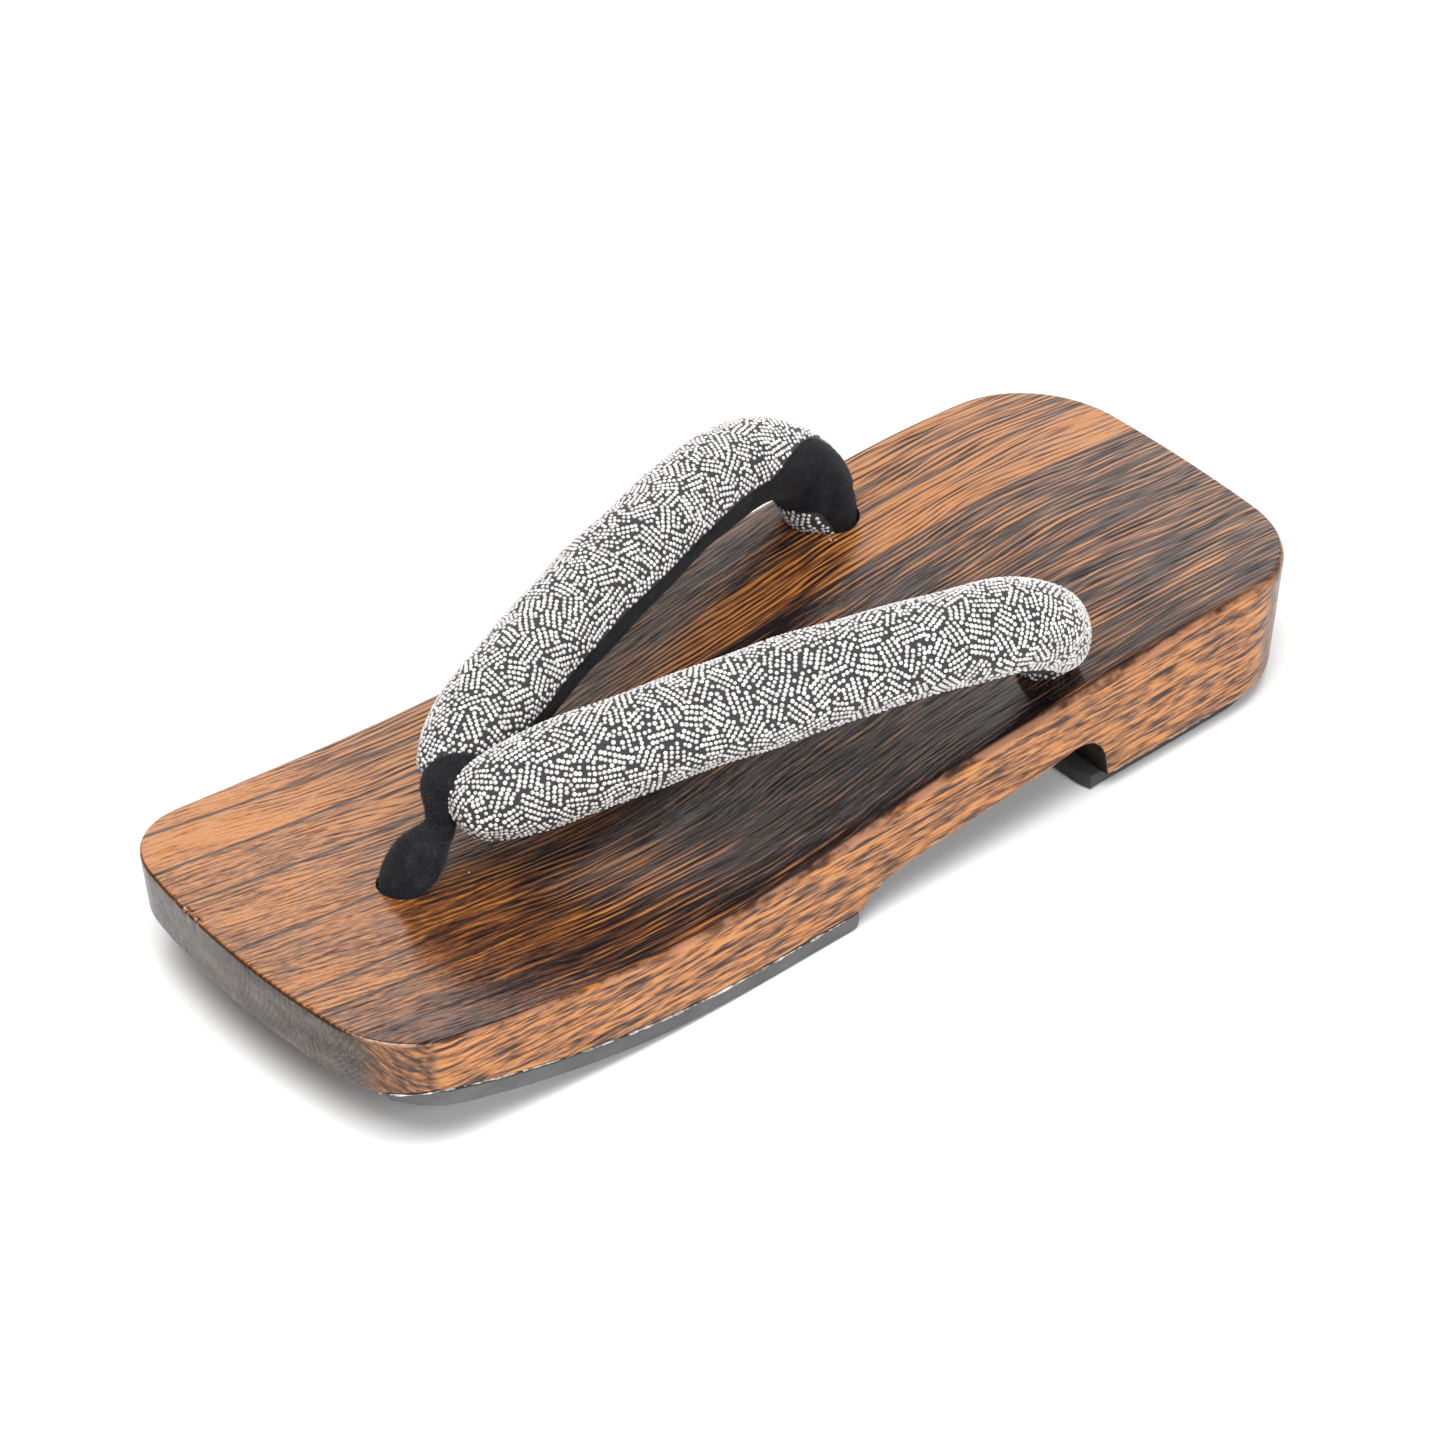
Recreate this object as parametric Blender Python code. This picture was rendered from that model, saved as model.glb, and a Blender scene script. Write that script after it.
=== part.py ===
"""A geta: a laminated wooden sandal with a V of padded straps, a toe thong and two rubber grip soles.

Metres, +Z up. The toe points to -Y, the heel to +Y, and the wearer's left is +X.
The origin is on the floor, under the middle of the deck.
"""

import math

import bmesh
import bpy
from mathutils import Vector

MM = 0.001
GAP = 0.3 * MM
CUT_MARGIN = 10.0 * MM

# Deck in plan
LENGTH = 255.0 * MM
HALF_LENGTH = LENGTH / 2.0
SIDE_KNOTS = (-HALF_LENGTH, -HALF_LENGTH / 2.0, 0.0, HALF_LENGTH / 2.0, HALF_LENGTH)
SIDE_HALF_WIDTHS = (44.1 * MM, 47.5 * MM, 46.6 * MM, 46.6 * MM, 44.6 * MM)
END_HALF_WIDTH = 52.0 * MM
TOE_SAGITTA = 7.2 * MM
HEEL_SAGITTA = 4.0 * MM
TOE_CORNER_RADIUS = 18.5 * MM
HEEL_CORNER_RADIUS = 25.5 * MM
END_LEAN = 3.2 * MM / (30.0 * MM)
CORNER_PROBE = 0.5 * MM
CORNER_PASSES = 20
SIDE_STEPS = 18
END_STEPS = 6
CORNER_STEPS = 8

# Deck in side view: the walking surface
TOP_HEIGHTS = (30.0 * MM, 25.0 * MM, 21.8 * MM, 22.8 * MM, 26.9 * MM, 29.8 * MM, 31.4 * MM, 29.4 * MM)
TOP_STEPS = 48
CREASE_ANGLE = math.radians(55.0)

# Deck in side view: the underside
RUBBER_THICKNESS = 4.15 * MM
ROCKER_START = -32.0 * MM
ROCKER_RADIUS = 285.0 * MM
ROCKER_STEPS = 14
TOE_BOTTOM = 15.3 * MM
FRONT_RUBBER_REAR = -5.5 * MM
WAIST_STEP = ((-4.6 * MM, 5.4 * MM), (-2.2 * MM, 7.1 * MM), (0.9 * MM, 8.5 * MM), (6.6 * MM, 9.8 * MM))
WAIST_REAR = (46.0 * MM, 14.4 * MM)
WAIST_STEPS = 6
COVE = (
    (49.5 * MM, 15.0 * MM),
    (52.5 * MM, 15.6 * MM),
    (55.2 * MM, 15.5 * MM),
    (57.6 * MM, 14.6 * MM),
    (59.6 * MM, 12.7 * MM),
    (61.0 * MM, 9.8 * MM),
)
HEEL_BLOCK_FRONT = 62.0 * MM

# Rubber soles
FRONT_RUBBER_TOE = -121.5 * MM
HEEL_RUBBER_FRONT = HEEL_BLOCK_FRONT - 2.6 * MM
HEEL_RUBBER_INSET = 2.1 * MM

# Holes through the deck
FRONT_HOLE_Y = -86.0 * MM
FRONT_HOLE_RADIUS = 5.0 * MM
REAR_HOLE = (32.5 * MM, 54.5 * MM)
REAR_HOLE_RADIUS = 6.0 * MM
HOLE_SIDES = 24

# Strap tube stations from the join to the hole, in millimetres: centre x, y, z, half width, half height.
# The wearer's left strap lies over the other at the join, so it reaches further forward and sits higher.
# The right strap is given as its mirror image.
LEFT_STRAP = (
    (4.6, -75.4, 38.7, 2.4, 2.4),
    (4.8, -74.6, 39.0, 4.7, 4.5),
    (5.6, -72.0, 39.9, 7.0, 6.7),
    (8.0, -65.4, 41.8, 9.2, 8.8),
    (13.9, -49.0, 45.2, 10.3, 10.0),
    (22.9, -22.6, 49.5, 10.3, 9.9),
    (30.4, 1.6, 51.7, 10.4, 9.8),
    (36.6, 22.8, 52.2, 10.2, 9.6),
    (39.6, 37.2, 50.8, 9.8, 9.4),
    (39.8, 46.8, 46.2, 9.4, 9.0),
    (37.6, 52.8, 39.8, 8.2, 7.8),
    (34.6, 55.0, 33.4, 6.2, 5.8),
    (33.0, 55.2, 28.4, 4.8, 4.8),
    (33.0, 55.2, 17.5, 4.8, 4.8),
)
RIGHT_STRAP = (
    (5.2, -72.4, 38.7, 2.4, 2.4),
    (5.4, -71.6, 39.0, 4.6, 4.4),
    (6.1, -69.2, 39.9, 6.8, 6.6),
    (8.2, -63.4, 41.4, 9.1, 8.8),
    (13.9, -49.0, 44.4, 10.3, 10.1),
    (22.9, -22.6, 47.7, 10.3, 9.9),
    (30.4, 1.6, 49.4, 10.4, 9.8),
    (36.6, 22.8, 49.9, 10.2, 9.4),
    (39.3, 37.2, 48.2, 9.7, 9.0),
    (39.3, 46.6, 44.2, 9.2, 8.4),
    (37.0, 52.4, 38.6, 8.2, 7.6),
    (34.4, 54.8, 33.0, 6.2, 5.8),
    (33.0, 55.2, 28.4, 4.8, 4.8),
    (33.0, 55.2, 17.5, 4.8, 4.8),
)
STRAP_RINGS = 38
STRAP_SIDES = 20
SIDEWAYS = (1.0, 0.0, 0.0)
JOIN_RADIUS = 5.2 * MM
JOIN_CENTRE = (0.0, -66.6 * MM, 38.6 * MM)

# Toe thong stations from the hole up to the join, in millimetres, laid out like the straps'
THONG_STATIONS = (
    (0.0, -86.0, 14.0, 4.4, 4.4),
    (0.0, -86.0, 21.0, 4.4, 4.4),
    (0.1, -85.4, 25.0, 5.4, 4.3),
    (0.3, -82.6, 28.6, 6.3, 3.9),
    (0.4, -79.0, 31.6, 5.0, 3.3),
    (0.4, -76.0, 34.2, 3.1, 2.8),
    (-0.4, -75.3, 37.6, 3.9, 2.4),
    (-1.0, -75.0, 41.0, 4.7, 2.2),
    (-1.2, -73.4, 43.9, 4.9, 2.0),
    (-0.8, -70.2, 45.2, 4.0, 1.9),
    (-0.3, -66.8, 44.8, 2.6, 1.8),
    (0.0, -64.2, 42.6, 2.0, 1.8),
)
THONG_RINGS = 40
THONG_SIDES = 16

# Colours (linear) and roughness
WOOD_COLOUR = (0.2, 0.09, 0.035)
WOOD_ROUGHNESS = 0.38
FRONT_RUBBER_COLOUR = (0.035, 0.035, 0.038)
HEEL_RUBBER_COLOUR = (0.03, 0.03, 0.032)
RUBBER_ROUGHNESS = 0.8
CLOTH_COLOUR = (0.35, 0.34, 0.33)
CLOTH_ROUGHNESS = 0.85
VELVET_COLOUR = (0.012, 0.012, 0.014)
VELVET_ROUGHNESS = 0.95


def material(name, base_color, roughness):
    """A plain Principled material of its own for each sub-part."""
    result = bpy.data.materials.new(name)
    result.use_nodes = True
    shader = result.node_tree.nodes["Principled BSDF"]
    shader.inputs["Base Color"].default_value = (*base_color, 1.0)
    shader.inputs["Roughness"].default_value = roughness
    return result


def natural_spline(knots, values):
    """A function through evenly spaced knots: a natural cubic spline."""
    count = len(knots)
    step = knots[1] - knots[0]
    upper = [0.0] * count
    second = [0.0] * count
    for i in range(1, count - 1):
        bend = 6.0 * (values[i + 1] - 2.0 * values[i] + values[i - 1]) / step**2
        pivot = 4.0 - upper[i - 1]
        upper[i] = 1.0 / pivot
        second[i] = (bend - second[i - 1]) / pivot
    for i in range(count - 2, 0, -1):
        second[i] -= upper[i] * second[i + 1]

    def value(at):
        i = min(max(int((at - knots[0]) / step), 0), count - 2)
        b = (at - knots[i]) / step
        a = 1.0 - b
        curve = (a**3 - a) * second[i] + (b**3 - b) * second[i + 1]
        return a * values[i] + b * values[i + 1] + curve * step**2 / 6.0

    return value


side_half_width = natural_spline(SIDE_KNOTS, SIDE_HALF_WIDTHS)
TOP_KNOTS = tuple(-HALF_LENGTH + LENGTH * i / (len(TOP_HEIGHTS) - 1) for i in range(len(TOP_HEIGHTS)))
top_height = natural_spline(TOP_KNOTS, TOP_HEIGHTS)


def corner_arc(end_sign, sagitta, radius):
    """The rounded corner between one side and one end, from the side round to the end."""
    centre_x = END_HALF_WIDTH - radius
    centre_y = HALF_LENGTH - sagitta - radius
    side_angle = end_angle = 0.0
    for _ in range(CORNER_PASSES):
        at = centre_y + radius * math.sin(side_angle)
        ahead = side_half_width(end_sign * (at + CORNER_PROBE))
        behind = side_half_width(end_sign * (at - CORNER_PROBE))
        side_angle = math.atan2(behind - ahead, 2.0 * CORNER_PROBE)
        centre_x = side_half_width(end_sign * at) - radius * math.cos(side_angle)
        touch_x = centre_x + radius * math.sin(end_angle)
        end_angle = math.atan(2.0 * sagitta * touch_x / END_HALF_WIDTH**2)
        touch_y = HALF_LENGTH - sagitta * (touch_x / END_HALF_WIDTH) ** 2
        centre_y = touch_y - radius * math.cos(end_angle)
    sweep = math.pi / 2.0 - end_angle - side_angle
    arc = []
    for i in range(CORNER_STEPS + 1):
        angle = side_angle + sweep * i / CORNER_STEPS
        arc.append((centre_x + radius * math.cos(angle), end_sign * (centre_y + radius * math.sin(angle))))
    return arc


def end_curve(end_sign, sagitta, reach):
    """Half of one bowed end, from the corner in to the middle line."""
    points = []
    for i in range(1, END_STEPS + 1):
        x = reach * (1.0 - i / END_STEPS)
        points.append((x, end_sign * (HALF_LENGTH - sagitta * (x / END_HALF_WIDTH) ** 2)))
    return points


def plan_outline():
    """The deck seen from above, anticlockwise from the middle of the toe."""
    toe_arc = corner_arc(-1.0, TOE_SAGITTA, TOE_CORNER_RADIUS)
    heel_arc = corner_arc(1.0, HEEL_SAGITTA, HEEL_CORNER_RADIUS)
    toe_end = end_curve(-1.0, TOE_SAGITTA, toe_arc[-1][0])
    heel_end = end_curve(1.0, HEEL_SAGITTA, heel_arc[-1][0])
    half = toe_end[::-1] + toe_arc[::-1]
    low, high = toe_arc[0][1], heel_arc[0][1]
    for i in range(1, SIDE_STEPS):
        y = low + (high - low) * i / SIDE_STEPS
        half.append((side_half_width(y), y))
    half += heel_arc + heel_end
    return half + [(-x, y) for x, y in half[-2:0:-1]]


def rocker(y):
    """Height of the walking contact under the forefoot."""
    if y >= ROCKER_START:
        return 0.0
    return (y - ROCKER_START) ** 2 / (2.0 * ROCKER_RADIUS)


def wood_bottom(y):
    """Underside of the wood over the front rubber sole."""
    return min(rocker(y) + RUBBER_THICKNESS, TOE_BOTTOM)


def spread(start, stop, steps):
    """Evenly spaced values, both ends included."""
    return [start + (stop - start) * i / steps for i in range(steps + 1)]


def deck_profile():
    """The deck in side view as (y, z) points."""
    top = []
    for y in spread(-HALF_LENGTH, HALF_LENGTH, TOP_STEPS):
        top.append((y, top_height(y)))
    front = [(y, wood_bottom(y)) for y in spread(-HALF_LENGTH, FRONT_RUBBER_REAR, ROCKER_STEPS)]
    waist_front = WAIST_STEP[-1]
    waist = []
    for i in range(1, WAIST_STEPS):
        part = i / WAIST_STEPS
        y = waist_front[0] + (WAIST_REAR[0] - waist_front[0]) * part
        waist.append((y, waist_front[1] + (WAIST_REAR[1] - waist_front[1]) * part))
    bottom = front + list(WAIST_STEP) + waist + [WAIST_REAR] + list(COVE)
    bottom += [(HEEL_BLOCK_FRONT, RUBBER_THICKNESS), (HALF_LENGTH, RUBBER_THICKNESS)]
    past_toe, past_heel = -HALF_LENGTH - CUT_MARGIN, HALF_LENGTH + CUT_MARGIN
    toe = [(past_toe, TOP_HEIGHTS[0]), (past_toe, TOE_BOTTOM)]
    heel = [(past_heel, RUBBER_THICKNESS), (past_heel, TOP_HEIGHTS[-1])]
    return toe + bottom + heel + top[::-1]


def front_rubber_profile():
    """The front rubber sole in side view, feathered towards the toe."""
    stations = spread(FRONT_RUBBER_TOE, FRONT_RUBBER_REAR, 2 * ROCKER_STEPS)
    lower = [(y, rocker(y)) for y in stations]
    upper = [(y, wood_bottom(y) - GAP) for y in stations]
    return lower + upper[::-1]


def heel_rubber_profile():
    """The heel rubber sole in side view."""
    low, high = HEEL_RUBBER_FRONT, HALF_LENGTH + CUT_MARGIN
    return [(low, 0.0), (high, 0.0), (high, RUBBER_THICKNESS - GAP), (low, RUBBER_THICKNESS - GAP)]


def new_object(name, mesh, collection, shader=None):
    """Put a mesh in a collection under a name."""
    result = bpy.data.objects.new(name, mesh)
    collection.objects.link(result)
    if shader is not None:
        mesh.materials.append(shader)
    return result


def prism(name, points, low, high, to_world, collection, shader=None):
    """A flat outline drawn out between two levels."""
    mesh = bpy.data.meshes.new(name)
    builder = bmesh.new()
    corners = [builder.verts.new(to_world(u, v, low)) for u, v in points]
    face = builder.faces.new(corners)
    drawn = bmesh.ops.extrude_face_region(builder, geom=[face])
    moved = [item for item in drawn["geom"] if isinstance(item, bmesh.types.BMVert)]
    shift = to_world(0.0, 0.0, high) - to_world(0.0, 0.0, low)
    bmesh.ops.translate(builder, verts=moved, vec=shift)
    bmesh.ops.recalc_face_normals(builder, faces=builder.faces)
    builder.to_mesh(mesh)
    builder.free()
    return new_object(name, mesh, collection, shader)


def side_view(y, z, x):
    """A side view point in the world."""
    return Vector((x, y, z))


def plan_view(x, y, z):
    """A plan view point in the world."""
    return Vector((x, y, z))


def plan_block(name, inset, collection):
    """The plan outline drawn up past the deck, its ends leaning in towards the floor."""
    shape = plan_outline()
    low, high = -CUT_MARGIN, TOP_HEIGHTS[0] + CUT_MARGIN
    side_scale = (side_half_width(0.0) - inset) / side_half_width(0.0)
    length_scale = (HALF_LENGTH - inset) / HALF_LENGTH
    points = [(x * side_scale, y * length_scale) for x, y in shape]
    block = prism(name, points, low, high, plan_view, collection)
    for vertex in block.data.vertices:
        lean = END_LEAN * (TOP_HEIGHTS[0] - vertex.co.z)
        vertex.co.y *= (HALF_LENGTH - lean) / HALF_LENGTH
    return block


def cylinder(name, centre, radius, low, high, collection):
    """An upright round cutter."""
    points = []
    for i in range(HOLE_SIDES):
        angle = 2.0 * math.pi * i / HOLE_SIDES
        points.append((centre[0] + radius * math.cos(angle), centre[1] + radius * math.sin(angle)))
    return prism(name, points, low, high, plan_view, collection)


def combine(target, tool, operation):
    """Apply one exact Boolean to the target."""
    modifier = target.modifiers.new(tool.name, "BOOLEAN")
    modifier.operation = operation
    modifier.solver = "EXACT"
    modifier.object = tool


def hide_tool(tool):
    """Keep a cutter out of the picture."""
    tool.hide_render = True
    tool.display_type = "WIRE"


def smooth(thing, angle):
    """Shade a rounded piece smooth up to a crease angle."""
    thing.data.shade_smooth()
    thing.data.set_sharp_from_angle(angle=angle)


def spline_stations(stations, count):
    """Evenly spaced stations on a smooth run through the given ones."""
    points = [tuple(value * MM for value in station) for station in stations]
    runs = [0.0]
    for one, two in zip(points, points[1:]):
        runs.append(runs[-1] + math.dist(one[:3], two[:3]))
    slopes = []
    for i in range(len(points)):
        before, after = max(i - 1, 0), min(i + 1, len(points) - 1)
        span = runs[after] - runs[before]
        slopes.append([(b - a) / span for a, b in zip(points[before], points[after])])
    result = []
    for i in range(count):
        at = runs[-1] * i / (count - 1)
        k = min(max(sum(1 for run in runs[1:-1] if run <= at), 0), len(points) - 2)
        span = runs[k + 1] - runs[k]
        t = (at - runs[k]) / span
        h00, h10 = 2 * t**3 - 3 * t**2 + 1, t**3 - 2 * t**2 + t
        h01, h11 = -2 * t**3 + 3 * t**2, t**3 - t**2
        blended = []
        for p, q, m, n in zip(points[k], points[k + 1], slopes[k], slopes[k + 1]):
            blended.append(h00 * p + h10 * span * m + h01 * q + h11 * span * n)
        result.append(blended)
    return result


def loft(name, stations, sides, side_direction, collection, shader=None, grow=0.0):
    """A closed tube of oval sections along a run of (x, y, z, half width, half height) stations."""
    mesh = bpy.data.meshes.new(name)
    builder = bmesh.new()
    centres = [Vector(station[:3]) for station in stations]
    rings = []
    width_axis = Vector(side_direction).normalized()
    for i, station in enumerate(stations):
        ahead = centres[min(i + 1, len(centres) - 1)]
        behind = centres[max(i - 1, 0)]
        along = (ahead - behind).normalized()
        width_axis = (width_axis - along * width_axis.dot(along)).normalized()
        height_axis = along.cross(width_axis)
        ring = []
        for j in range(sides):
            angle = 2.0 * math.pi * j / sides
            across = width_axis * (station[3] + grow) * math.cos(angle)
            upward = height_axis * (station[4] + grow) * math.sin(angle)
            ring.append(builder.verts.new(centres[i] + across + upward))
        rings.append(ring)
    for low, high in zip(rings, rings[1:]):
        for j in range(sides):
            k = (j + 1) % sides
            builder.faces.new((low[j], low[k], high[k], high[j]))
    builder.faces.new(rings[0][::-1])
    builder.faces.new(rings[-1])
    bmesh.ops.recalc_face_normals(builder, faces=builder.faces)
    builder.to_mesh(mesh)
    builder.free()
    return new_object(name, mesh, collection, shader)


def strap_run(side, grow):
    """Stations of one strap tube, lengthened a little when it serves as a cutter."""
    stations = []
    for x, y, z, width, height in spline_stations(LEFT_STRAP if side > 0.0 else RIGHT_STRAP, STRAP_RINGS):
        stations.append((side * x, y, z, width, height))
    first = stations[0]
    stations[0] = (first[0], first[1] - grow, first[2], first[3], first[4])
    return stations


def strap_solid(name, collection, tools, shader=None, grow=0.0):
    """Both strap tubes and the sewn join between them, as one piece."""
    left = loft(name, strap_run(1.0, grow), STRAP_SIDES, SIDEWAYS, collection, shader, grow)
    right = loft(name + "_right_tube", strap_run(-1.0, grow), STRAP_SIDES, SIDEWAYS, tools, None, grow)
    mesh = bpy.data.meshes.new(name + "_join")
    builder = bmesh.new()
    bmesh.ops.create_icosphere(builder, subdivisions=2, radius=JOIN_RADIUS + grow)
    bmesh.ops.translate(builder, verts=builder.verts, vec=Vector(JOIN_CENTRE))
    builder.to_mesh(mesh)
    builder.free()
    join = new_object(name + "_join", mesh, tools)
    for tool in (right, join):
        combine(left, tool, "UNION")
        hide_tool(tool)
    return left


def hole_list():
    """Centre and radius of each hole through the deck."""
    holes = [((0.0, FRONT_HOLE_Y), FRONT_HOLE_RADIUS)]
    for side in (-1.0, 1.0):
        holes.append(((side * REAR_HOLE[0], REAR_HOLE[1]), REAR_HOLE_RADIUS))
    return holes


def deck_room(name, tools):
    """What the deck keeps for itself: its body grown by the gap, less a shaft down each hole."""
    surface = []
    for y in spread(-HALF_LENGTH, HALF_LENGTH, TOP_STEPS):
        surface.append((y, top_height(y) + GAP))
    floor = [(-HALF_LENGTH, 0.0), (HALF_LENGTH, 0.0)]
    room = prism(name, floor + surface[::-1], -END_HALF_WIDTH, END_HALF_WIDTH, side_view, tools)
    for number, (centre, radius) in enumerate(hole_list()):
        shaft_name = "%s_shaft_%d" % (name, number)
        shaft = cylinder(shaft_name, centre, radius - GAP, -CUT_MARGIN, TOP_HEIGHTS[0] + CUT_MARGIN, tools)
        combine(room, shaft, "DIFFERENCE")
        hide_tool(shaft)
    hide_tool(room)
    return room


def make_deck(parts, tools):
    """The wooden deck with its heel block, arch and three holes."""
    shader = material("burnt_wood", WOOD_COLOUR, WOOD_ROUGHNESS)
    half_span = END_HALF_WIDTH + CUT_MARGIN
    deck = prism("wood_deck", deck_profile(), -half_span, half_span, side_view, parts, shader)
    block = plan_block("deck_plan", 0.0, tools)
    combine(deck, block, "INTERSECT")
    hide_tool(block)
    for number, (centre, radius) in enumerate(hole_list()):
        drill = cylinder("drill_%d" % number, centre, radius, 0.0, TOP_HEIGHTS[0] + CUT_MARGIN, tools)
        combine(deck, drill, "DIFFERENCE")
        hide_tool(drill)
    return deck


def make_rubber(name, profile, inset, colour, parts, tools):
    """One rubber sole cut to the deck's outline."""
    half_span = END_HALF_WIDTH + CUT_MARGIN
    shader = material(name + "_rubber", colour, RUBBER_ROUGHNESS)
    rubber = prism(name, profile, -half_span, half_span, side_view, parts, shader)
    block = plan_block(name + "_plan", inset, tools)
    combine(rubber, block, "INTERSECT")
    hide_tool(block)
    return rubber


def make_thong(parts, tools):
    """The velvet thong from the front hole up to the join of the straps."""
    shader = material("black_velvet", VELVET_COLOUR, VELVET_ROUGHNESS)
    stations = spline_stations(THONG_STATIONS, THONG_RINGS)
    thong = loft("toe_thong", stations, THONG_SIDES, SIDEWAYS, parts, shader)
    room = strap_solid("strap_room", tools, tools, None, GAP)
    combine(thong, room, "DIFFERENCE")
    hide_tool(room)
    combine(thong, deck_room("thong_deck_room", tools), "DIFFERENCE")
    smooth(thong, CREASE_ANGLE)
    return thong


def build():
    """Clear the scene and build the sandal."""
    for thing in list(bpy.data.objects):
        bpy.data.objects.remove(thing, do_unlink=True)
    parts = bpy.data.collections.new("geta_sandal")
    tools = bpy.data.collections.new("cutters")
    for collection in (parts, tools):
        bpy.context.scene.collection.children.link(collection)
    make_deck(parts, tools)
    make_rubber("front_rubber_sole", front_rubber_profile(), 0.0, FRONT_RUBBER_COLOUR, parts, tools)
    heel_profile = heel_rubber_profile()
    make_rubber("heel_rubber_sole", heel_profile, HEEL_RUBBER_INSET, HEEL_RUBBER_COLOUR, parts, tools)
    straps = strap_solid("strap_pair", parts, tools, material("dotted_cloth", CLOTH_COLOUR, CLOTH_ROUGHNESS))
    combine(straps, deck_room("strap_deck_room", tools), "DIFFERENCE")
    smooth(straps, CREASE_ANGLE)
    make_thong(parts, tools)


build()
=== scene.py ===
"""Looks for a geta: burnt laminated wood, rubber grip soles, padded dotted straps and a velvet toe thong.

The frame is in metres, +Z up, toe to -Y, the wearer's left to +X. Shapes here are worked out in
millimetres from the same sizes as the CAD solids and scaled when a mesh is made.
"""

import math
import random
from itertools import product

import bpy
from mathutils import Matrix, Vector
from mathutils.bvhtree import BVHTree
from mathutils.kdtree import KDTree


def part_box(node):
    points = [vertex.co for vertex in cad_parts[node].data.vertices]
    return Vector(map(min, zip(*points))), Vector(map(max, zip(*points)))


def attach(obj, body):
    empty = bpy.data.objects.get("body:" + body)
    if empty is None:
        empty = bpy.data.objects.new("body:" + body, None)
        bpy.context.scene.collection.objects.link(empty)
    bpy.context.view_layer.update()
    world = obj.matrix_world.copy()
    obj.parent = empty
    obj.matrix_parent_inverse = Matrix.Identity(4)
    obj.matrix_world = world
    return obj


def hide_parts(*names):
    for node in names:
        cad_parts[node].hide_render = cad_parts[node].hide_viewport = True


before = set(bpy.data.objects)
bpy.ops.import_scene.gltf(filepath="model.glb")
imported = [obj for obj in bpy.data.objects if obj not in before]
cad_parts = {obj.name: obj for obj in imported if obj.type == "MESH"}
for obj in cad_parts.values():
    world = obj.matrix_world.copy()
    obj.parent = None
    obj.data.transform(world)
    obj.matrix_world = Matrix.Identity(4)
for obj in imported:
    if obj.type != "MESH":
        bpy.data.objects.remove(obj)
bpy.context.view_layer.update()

MM = 0.001
ROOT = "root"
SEED = 11
HARD_CREASE = math.radians(38.0)
SOFT_CREASE = math.radians(80.0)

# Deck sizes, taken from the frame where it gives them
deck_low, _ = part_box("wood_deck")
HALF_LENGTH = -deck_low.y / MM
TOP_HEIGHTS = (30.0, 25.0, 21.8, 22.8, 26.9, 29.8, 31.4, 29.4)
SIDE_HALF_WIDTHS = (44.1, 47.5, 46.6, 46.6, 44.6)
END_HALF_WIDTH = 52.0
TOE_SAGITTA = 7.2
HEEL_SAGITTA = 4.0
TOE_CORNER_RADIUS = 18.5
HEEL_CORNER_RADIUS = 25.5
END_LEAN = 3.2 / 30.0
RIM_RADII = (0.9, 1.6, 2.4, 2.2, 1.6)
BOTTOM_EDGE_RADIUS = 0.7

# Underside
RUBBER_THICKNESS = deck_low.z / MM
ROCKER_START = -32.0
ROCKER_RADIUS = 285.0
TOE_BOTTOM = 15.3
FRONT_RUBBER_TOE = -121.5
FRONT_RUBBER_REAR = -5.5
GAP = 0.3
EDGE_STEPS = 6
HEEL_BLOCK_FRONT = 62.0
UNDERSIDE = (
    (FRONT_RUBBER_REAR, RUBBER_THICKNESS), (-4.6, 5.4),
    (-2.2, 7.1), (0.9, 8.5),
    (6.6, 9.8), (46.0, 14.4),
    (49.5, 15.0), (52.5, 15.6),
    (55.2, 15.5), (57.6, 14.6),
    (59.6, 12.7), (61.0, 9.8),
    (HEEL_BLOCK_FRONT, RUBBER_THICKNESS), (HALF_LENGTH, RUBBER_THICKNESS),
)
HEEL_RUBBER_FRONT = 59.4
HEEL_RUBBER_INSET = 2.1

# Holes
FRONT_HOLE = (0.0, -86.0, 5.0)
REAR_HOLES = ((32.5, 54.5, 6.0), (-32.5, 54.5, 6.0))

# Strap stations from the join to the hole, two to a line: centre x, y, z, half width, half height.
# The left strap (+X) lies over the other at the join; the right one is given as its mirror image.
LEFT_STRAP = (
    (4.5, -75.9, 38.6, 0.7, 0.7), (4.6, -75.4, 38.7, 2.4, 2.4),
    (4.8, -74.6, 39.0, 4.7, 4.5), (5.6, -72.0, 39.9, 7.0, 6.7),
    (8.0, -65.4, 41.8, 9.2, 8.8), (13.9, -49.0, 45.2, 10.3, 10.0),
    (22.9, -22.6, 49.5, 10.3, 9.9), (30.4, 1.6, 51.7, 10.4, 9.8),
    (36.6, 22.8, 52.2, 10.2, 9.6), (39.6, 37.2, 50.8, 9.8, 9.4),
    (39.8, 46.8, 46.2, 9.4, 9.0), (37.6, 52.8, 39.8, 8.2, 7.8),
    (34.6, 55.0, 33.4, 6.2, 5.8), (33.0, 55.2, 28.4, 4.8, 4.8),
    (33.0, 55.2, 17.5, 4.8, 4.8),
)
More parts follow.
